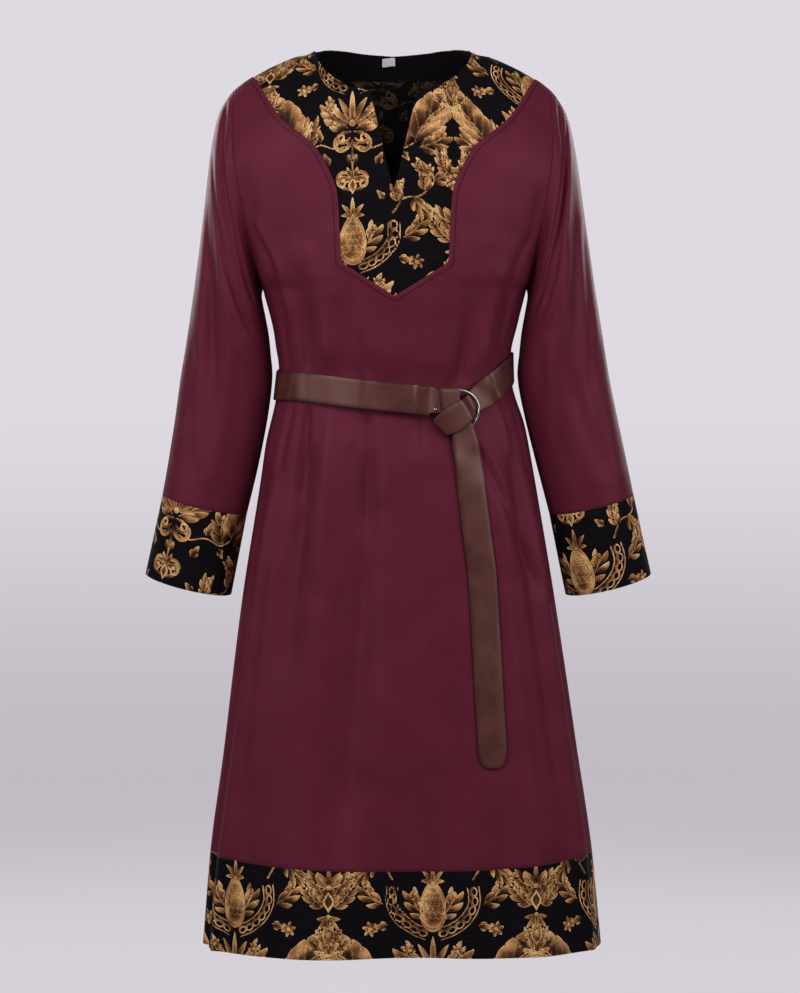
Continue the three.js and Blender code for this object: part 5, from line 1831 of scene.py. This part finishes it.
@dataclass
class Belt:
    """The leather strap, pulled through its ring, looped over and hanging down the front."""

    half: float = 18.5
    thick: float = 2.0
    clear: float = 1.4
    plane: Triple = (70.0, -95.6, 0.26)
    ring: Triple = (77.7, -468.4, 7.7)
    ring_radius: float = 24.5
    wire: float = 1.7
    ring_turn: float = -0.095
    near_knot: float = 104.8  # how far forward the tail stays, even over a hollow of the skirt
    tongue: tuple = (
        (36, -463, 2, 90, 8), (51, -465.5, 2, 90, 8), (56.4, -466, 2.2, 90, 8), (59, -466.4, 3.3, 90, 8),
        (59.7, -466.5, 5, 90, 8), (59, -466.4, 7.3, 90, 8), (56, -465.5, 8.9, 90, 9),
        (50, -462, 8.9, 90, 13),
        (45, -459, 7.2, 88, 17.5), (37, -457.6, 3.6, 89, 18.5), (24, -456, 0.4, 92, 18.5),
    )
    loop: tuple = (
        (113, -445, -4, 125, 17.8), (105, -451, 1.6, 124, 16.8), (98, -457, 4.9, 123, 15),
        (91.5, -462.6, 7.6, 122, 12.8),
        (86, -467.4, 14.8, 120, 14), (80, -473.2, 16, 119, 16.5), (73, -478.5, 16.2, 120, 17.4),
        (66, -482.6, 16, 123, 17.3), (58.6, -487.3, 14.8, 128, 15), (53.6, -490.9, 11.6, 133, 13.6),
        (52, -492, 7.6, 135, 13), (53, -491.2, 4.2, 135, 13), (56, -489, 2.4, 135, 12.6),
    )
    tail: tuple = (
        (65.3, -451, 2.4, 0, 13.4), (65.3, -444.6, 2.5, 0, 13.4), (65.3, -441.3, 3.8, 0, 13.4),
        (65.3, -440.1, 7, 0, 13.4),
        (65.3, -441.3, 10.2, 0, 13.4), (65.3, -444.6, 11.5, 0, 13.4), (65.2, -455, 11.8, 2, 12.5),
        (68, -467, 12, 3, 13.4),
        (75, -482, 12.3, 5, 14), (81.2, -495, 12.2, 6, 14.6),
    )
    hanging: tuple = (
        (84.6, -512, 7, 17), (88, -532, 7.5, 18.3), (91.5, -565, 8, 18.5), (96, -602, 8, 18.5),
        (101, -640, 8, 18.5),
        (105.5, -675, 7, 18.5), (109.3, -735, 4, 18.5), (112.7, -800, 3.4, 18.5), (116, -860, 3.4, 18.5),
        (118.2, -896, 3.4, 18.5), (118.7, -907, 3.4, 17.3), (119, -914, 3.4, 14), (119.2, -919, 3.4, 8),
    )

    def knotted(self, rows: Rows) -> Array:
        """Sections of the knot, each as its middle, the direction across it and its half width."""
        made = []
        for x, z, depth, angle, half in rows:
            a = math.radians(angle)
            y = self.plane[1] + self.plane[2] * (x - self.plane[0]) - depth
            made.append((x, y, z, math.cos(a), self.plane[2] * math.cos(a), math.sin(a), half))
        return np.array(made)

    def waist(self, body: BodyForm, turns: Array) -> Array:
        """Sections round the waist, lying on the cloth."""
        made = []
        for n, turn in enumerate(turns):
            wrapped = (turn + 180.0) % 360.0 - 180.0
            face = Face.FRONT if abs(wrapped) <= 90 else Face.BACK
            s = (wrapped if face is Face.FRONT else math.copysign(180.0, wrapped) - wrapped) / 90.0
            level = float(body.belt_level(face, s * 90.0))
            low, middle, high = (body.point(face, s, level + w * self.half) for w in (-1, 0, 1))
            beside = [body.point(face, np.clip(s + t, -1, 1), level, folded=False) for t in (0.03, -0.03)]
            along = beside[0] - beside[1]
            out = unit(np.array([along[1], -along[0], 0.0]))
            out *= np.sign(out @ middle) or 1.0
            centre = (low + high) / 2.0
            lift = 6.6 * (1.0 - float(smooth(n / 26.0)))
            bulge = max(float((middle - centre) @ out), 0.0)
            centre = centre + out * (bulge + self.clear + self.thick / 2.0 + lift)
            made.append((*centre, *unit(high - low), self.half))
        return np.array(made)

    def hung(self, body: BodyForm) -> Array:
        """Sections of the tail, lying on the skirt."""
        made = []
        for x, z, angle, half in self.hanging:
            t = np.linspace(-1, 1, 5)
            s, level = body.find(Face.FRONT, x + t * half, np.full(5, z))
            across = body.point(Face.FRONT, s, level)
            slope = (across[4, 1] - across[0, 1]) / (2.0 * half)
            y = np.min(across[:, 1] - slope * (across[:, 0] - x)) - self.clear - self.thick / 2.0
            y = min(y, -self.near_knot)
            a = math.radians(angle)
            made.append((x, y, z, math.cos(a), slope * math.cos(a), math.sin(a), half))
        return np.array(made)

    def strip(self, name: str, sections: Array, count: int, material: Material) -> Object:
        """Draw a strap with rounded edges through its sections."""
        rows = spline(sections, count, 3)
        middle, half = rows[:, :3], rows[:, 6]
        along = unit(np.gradient(middle, axis=0))
        across = unit(rows[:, 3:6] - np.sum(rows[:, 3:6] * along, axis=1, keepdims=True) * along)
        out = np.cross(across, along)
        ring = [(w, 0.0, 1.0) for w in np.linspace(-1, 1, 7)] + [(1, 0.4, 0.75), (1, 0.55, 0.35),
                                                                 (1, 0.55, -0.35), (1, 0.4, -0.75)]
        ring += [(w, 0.0, -1.0) for w in np.linspace(1, -1, 7)] + [(-1, 0.4, -0.75), (-1, 0.55, -0.35),
                                                                   (-1, 0.55, 0.35), (-1, 0.4, 0.75)]
        k = len(ring)
        points = np.empty((count, k, 3))
        flat_u = np.empty((count, k))
        for n, (w, extra, lift) in enumerate(ring):
            reach = np.sign(w) * (np.abs(w) * (half - 0.6) + extra)
            points[:, n] = middle + across * reach[:, None] + out * (lift * self.thick / 2.0)
            flat_u[:, n] = reach
        length = run_along(middle)
        caps = [(0, n + 1, n) for n in range(1, k - 1)] + [(m, m + n, m + n + 1) for m in [(count - 1) * k]
                                                           for n in range(1, k - 1)]
        tri = np.concatenate([band_faces(count, k)[:, ::-1], np.array(caps)])
        flatp = points.reshape(-1, 3)
        va, vb, vc = (flatp[tri[:, q]] for q in range(3))
        if np.sum(va * np.cross(vb, vc)) < 0:
            tri = tri[:, ::-1]
        place_flat = np.stack([flat_u.ravel(), np.repeat(length, k)], axis=1)
        edge = np.zeros((count * k, 3))
        edge[:, 0] = np.abs(flat_u.ravel()) / np.repeat(half, k)
        return mesh_of(name, flatp, tri, [material], None, place_flat[tri], {"edge": edge})

    def ring_mesh(self, finishes: Finishes) -> Object:
        """The round ring that the strap passes through."""
        x, z, depth = self.ring
        turn = math.atan(self.plane[2]) + self.ring_turn
        u, v = np.meshgrid(np.linspace(0, 2 * math.pi, 96, endpoint=False),
                           np.linspace(0, 2 * math.pi, 16, endpoint=False), indexing="ij")
        far = self.ring_radius + self.wire * np.cos(v)
        px, pz = far * np.cos(u), far * np.sin(u)
        py = -self.wire * np.sin(v)
        middle = self.knotted([(x, z, depth, 0, 0)])[0, :3]
        points = np.stack([px * math.cos(turn) - py * math.sin(turn),
                           px * math.sin(turn) + py * math.cos(turn), pz], -1) + middle
        made = mesh_of("belt_ring_steel", points.reshape(-1, 3), band_faces(96, 16, True), [finishes.metal])
        return place(made, ["belt_ring"], "metal")

    def rivet(self, finishes: Finishes) -> Object:
        """The domed rivet that holds the folded tongue."""
        middle = self.knotted([(46.6, -468.5, 10.5, 0, 0)])[0, :3]
        profile = [(0.0, 1.55), (0.7, 1.5), (1.3, 1.25), (1.75, 0.85), (2.05, 0.45), (2.2, 0.0), (0.0, 0.0)]
        turns = np.linspace(0, 2 * math.pi, 28, endpoint=False)
        points = np.array([(r * math.cos(t), -h, r * math.sin(t)) for r, h in profile
                           for t in turns]) + middle
        tri = with_area(points, band_faces(len(profile), 28))
        obj = mesh_of("belt_rivet_steel", points, tri, [finishes.metal])
        return place(obj, ["belt_rivet"], "metal")

    def build(self, body: BodyForm, finishes: Finishes) -> None:
        """Make the strap, its tail, the ring and the rivet."""
        round_waist = self.waist(body, np.linspace(5.0, -309.0, 121))
        strap = np.concatenate([self.knotted(self.tongue), round_waist, self.knotted(self.loop)])
        place(self.strip("belt_strap_leather", strap, 620, finishes.leather), ["belt_strap"], "leather")
        tail = np.concatenate([self.knotted(self.tail), self.hung(body)])
        place(self.strip("belt_tail_leather", tail, 220, finishes.leather), ["belt_tail"], "leather")
        self.ring_mesh(finishes)
        self.rivet(finishes)


# ---- the studio
@dataclass(frozen=True)
class Studio:
    """A pale sweep, soft lights and the camera."""

    distance: float = 3.5
    aim: Pair = (0.002, -0.578)
    view_angle: float = 20.9
    floor: float = -1.45
    wall: float = 6.5

    def sweep(self) -> None:
        """The pale floor that curves up into a round wall. It glows, and painted shade darkens the glow
        towards the floor.
        """
        bend = self.wall - 1.6
        profile = [(0.0, self.floor)]
        profile += [(bend + 1.6 * math.sin(a), self.floor + 1.6 * (1 - math.cos(a)))
                    for a in np.linspace(0.0, math.pi / 2, 24)]
        profile += [(self.wall, 6.0)]
        turns = np.linspace(0, 2 * math.pi, 64, endpoint=False)
        points = np.array([(r * math.cos(t), r * math.sin(t), z) for r, z in profile for t in turns]) / MM
        faces = with_area(points, band_faces(len(profile), 64))
        material, n, shader = new_material("studio paper")
        # Painted light: the paper glows, fully for the camera and faintly onto the garment, and painted
        # shade makes it darker towards the floor.
        painted_shade_by_height = n.range(n.parts(n.add("ShaderNodeTexCoord").outputs["Object"])[2], self.floor, -0.2)
        seen = n.add("ShaderNodeLightPath").outputs["Is Camera Ray"]
        n.fill(shader, {
            "Base Color": colour(150, 148, 152), "Roughness": 0.9,
            "Emission Color": n.mix(painted_shade_by_height, colour(186, 181, 188), colour(216, 211, 218)),
            "Emission Strength": n.math("MULTIPLY_ADD", seen, 0.92, 0.08),
        })
        mesh_of("studio_sweep", points, faces, [material])

    def light(self, name: str, place_at: Triple, target: Triple, size: float, power: float) -> None:
        """Hang a square soft light aimed at a target."""
        lamp = bpy.data.lights.new(name, "AREA")
        lamp.size, lamp.energy = size, power
        obj = bpy.data.objects.new(name, lamp)
        obj.location = place_at
        obj.rotation_euler = (Vector(target) - Vector(place_at)).to_track_quat("-Z", "Y").to_euler()
        bpy.context.scene.collection.objects.link(obj)

    def build(self) -> None:
        """Set the camera, the lights and the floor."""
        scene = bpy.context.scene
        camera = bpy.data.cameras.new("camera")
        camera.sensor_fit, camera.sensor_height = "VERTICAL", 24.0
        camera.lens = 12.0 / math.tan(math.radians(self.view_angle / 2))
        camera.clip_end = 50.0
        obj = bpy.data.objects.new("camera", camera)
        obj.location = (self.aim[0], -self.distance, self.aim[1])
        obj.rotation_euler = (math.radians(90), 0, 0)
        scene.collection.objects.link(obj)
        scene.camera = obj
        scene.view_settings.view_transform = "Standard"
        world = bpy.data.worlds.new("studio")
        world.use_nodes = True
        world.node_tree.nodes["Background"].inputs[0].default_value = (0.95, 0.93, 0.96, 1.0)
        world.node_tree.nodes["Background"].inputs[1].default_value = 0.08
        scene.world = world
        self.sweep()
        self.light("key", (-1.0, -1.55, 0.85), (0, 0, -0.2), 0.8, 15.5)
        self.light("fill", (1.3, -1.7, 0.45), (0, 0, -0.3), 1.0, 12.5)
        self.light("belt", (-1.15, -2.1, -0.36), (0, 0, -0.5), 0.45, 6.2)
        self.light("left", (-2.1, -1.1, 0.1), (0, 0, -0.4), 1.0, 8.0)
        self.light("right", (2.1, -1.1, 0.1), (0, 0, -0.4), 1.0, 10.5)
        self.light("behind left", (-1.6, 2.0, 0.5), (0, 0, -0.5), 1.2, 19.0)
        self.light("behind right", (1.6, 2.0, 0.3), (0, 0, -0.5), 1.2, 17.0)


def main() -> None:
    """Build the garment round its frame."""
    logging.basicConfig(level=logging.INFO, format="%(name)s: %(message)s")
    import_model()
    finishes = Finishes.make()
    body = BodyForm(FINE_FOLDS)
    damask = Damask()
    tailor = Tailor(body, damask)
    BodyPieces().build(tailor, finishes)
    for side in Side:
        SleevePieces(side).build(body, damask, finishes, FINE_SLEEVE_FOLDS[side])
    Stitching().build(tailor, finishes)
    Belt().build(body, finishes)
    Studio().build()


if __name__ == "__main__":
    main()
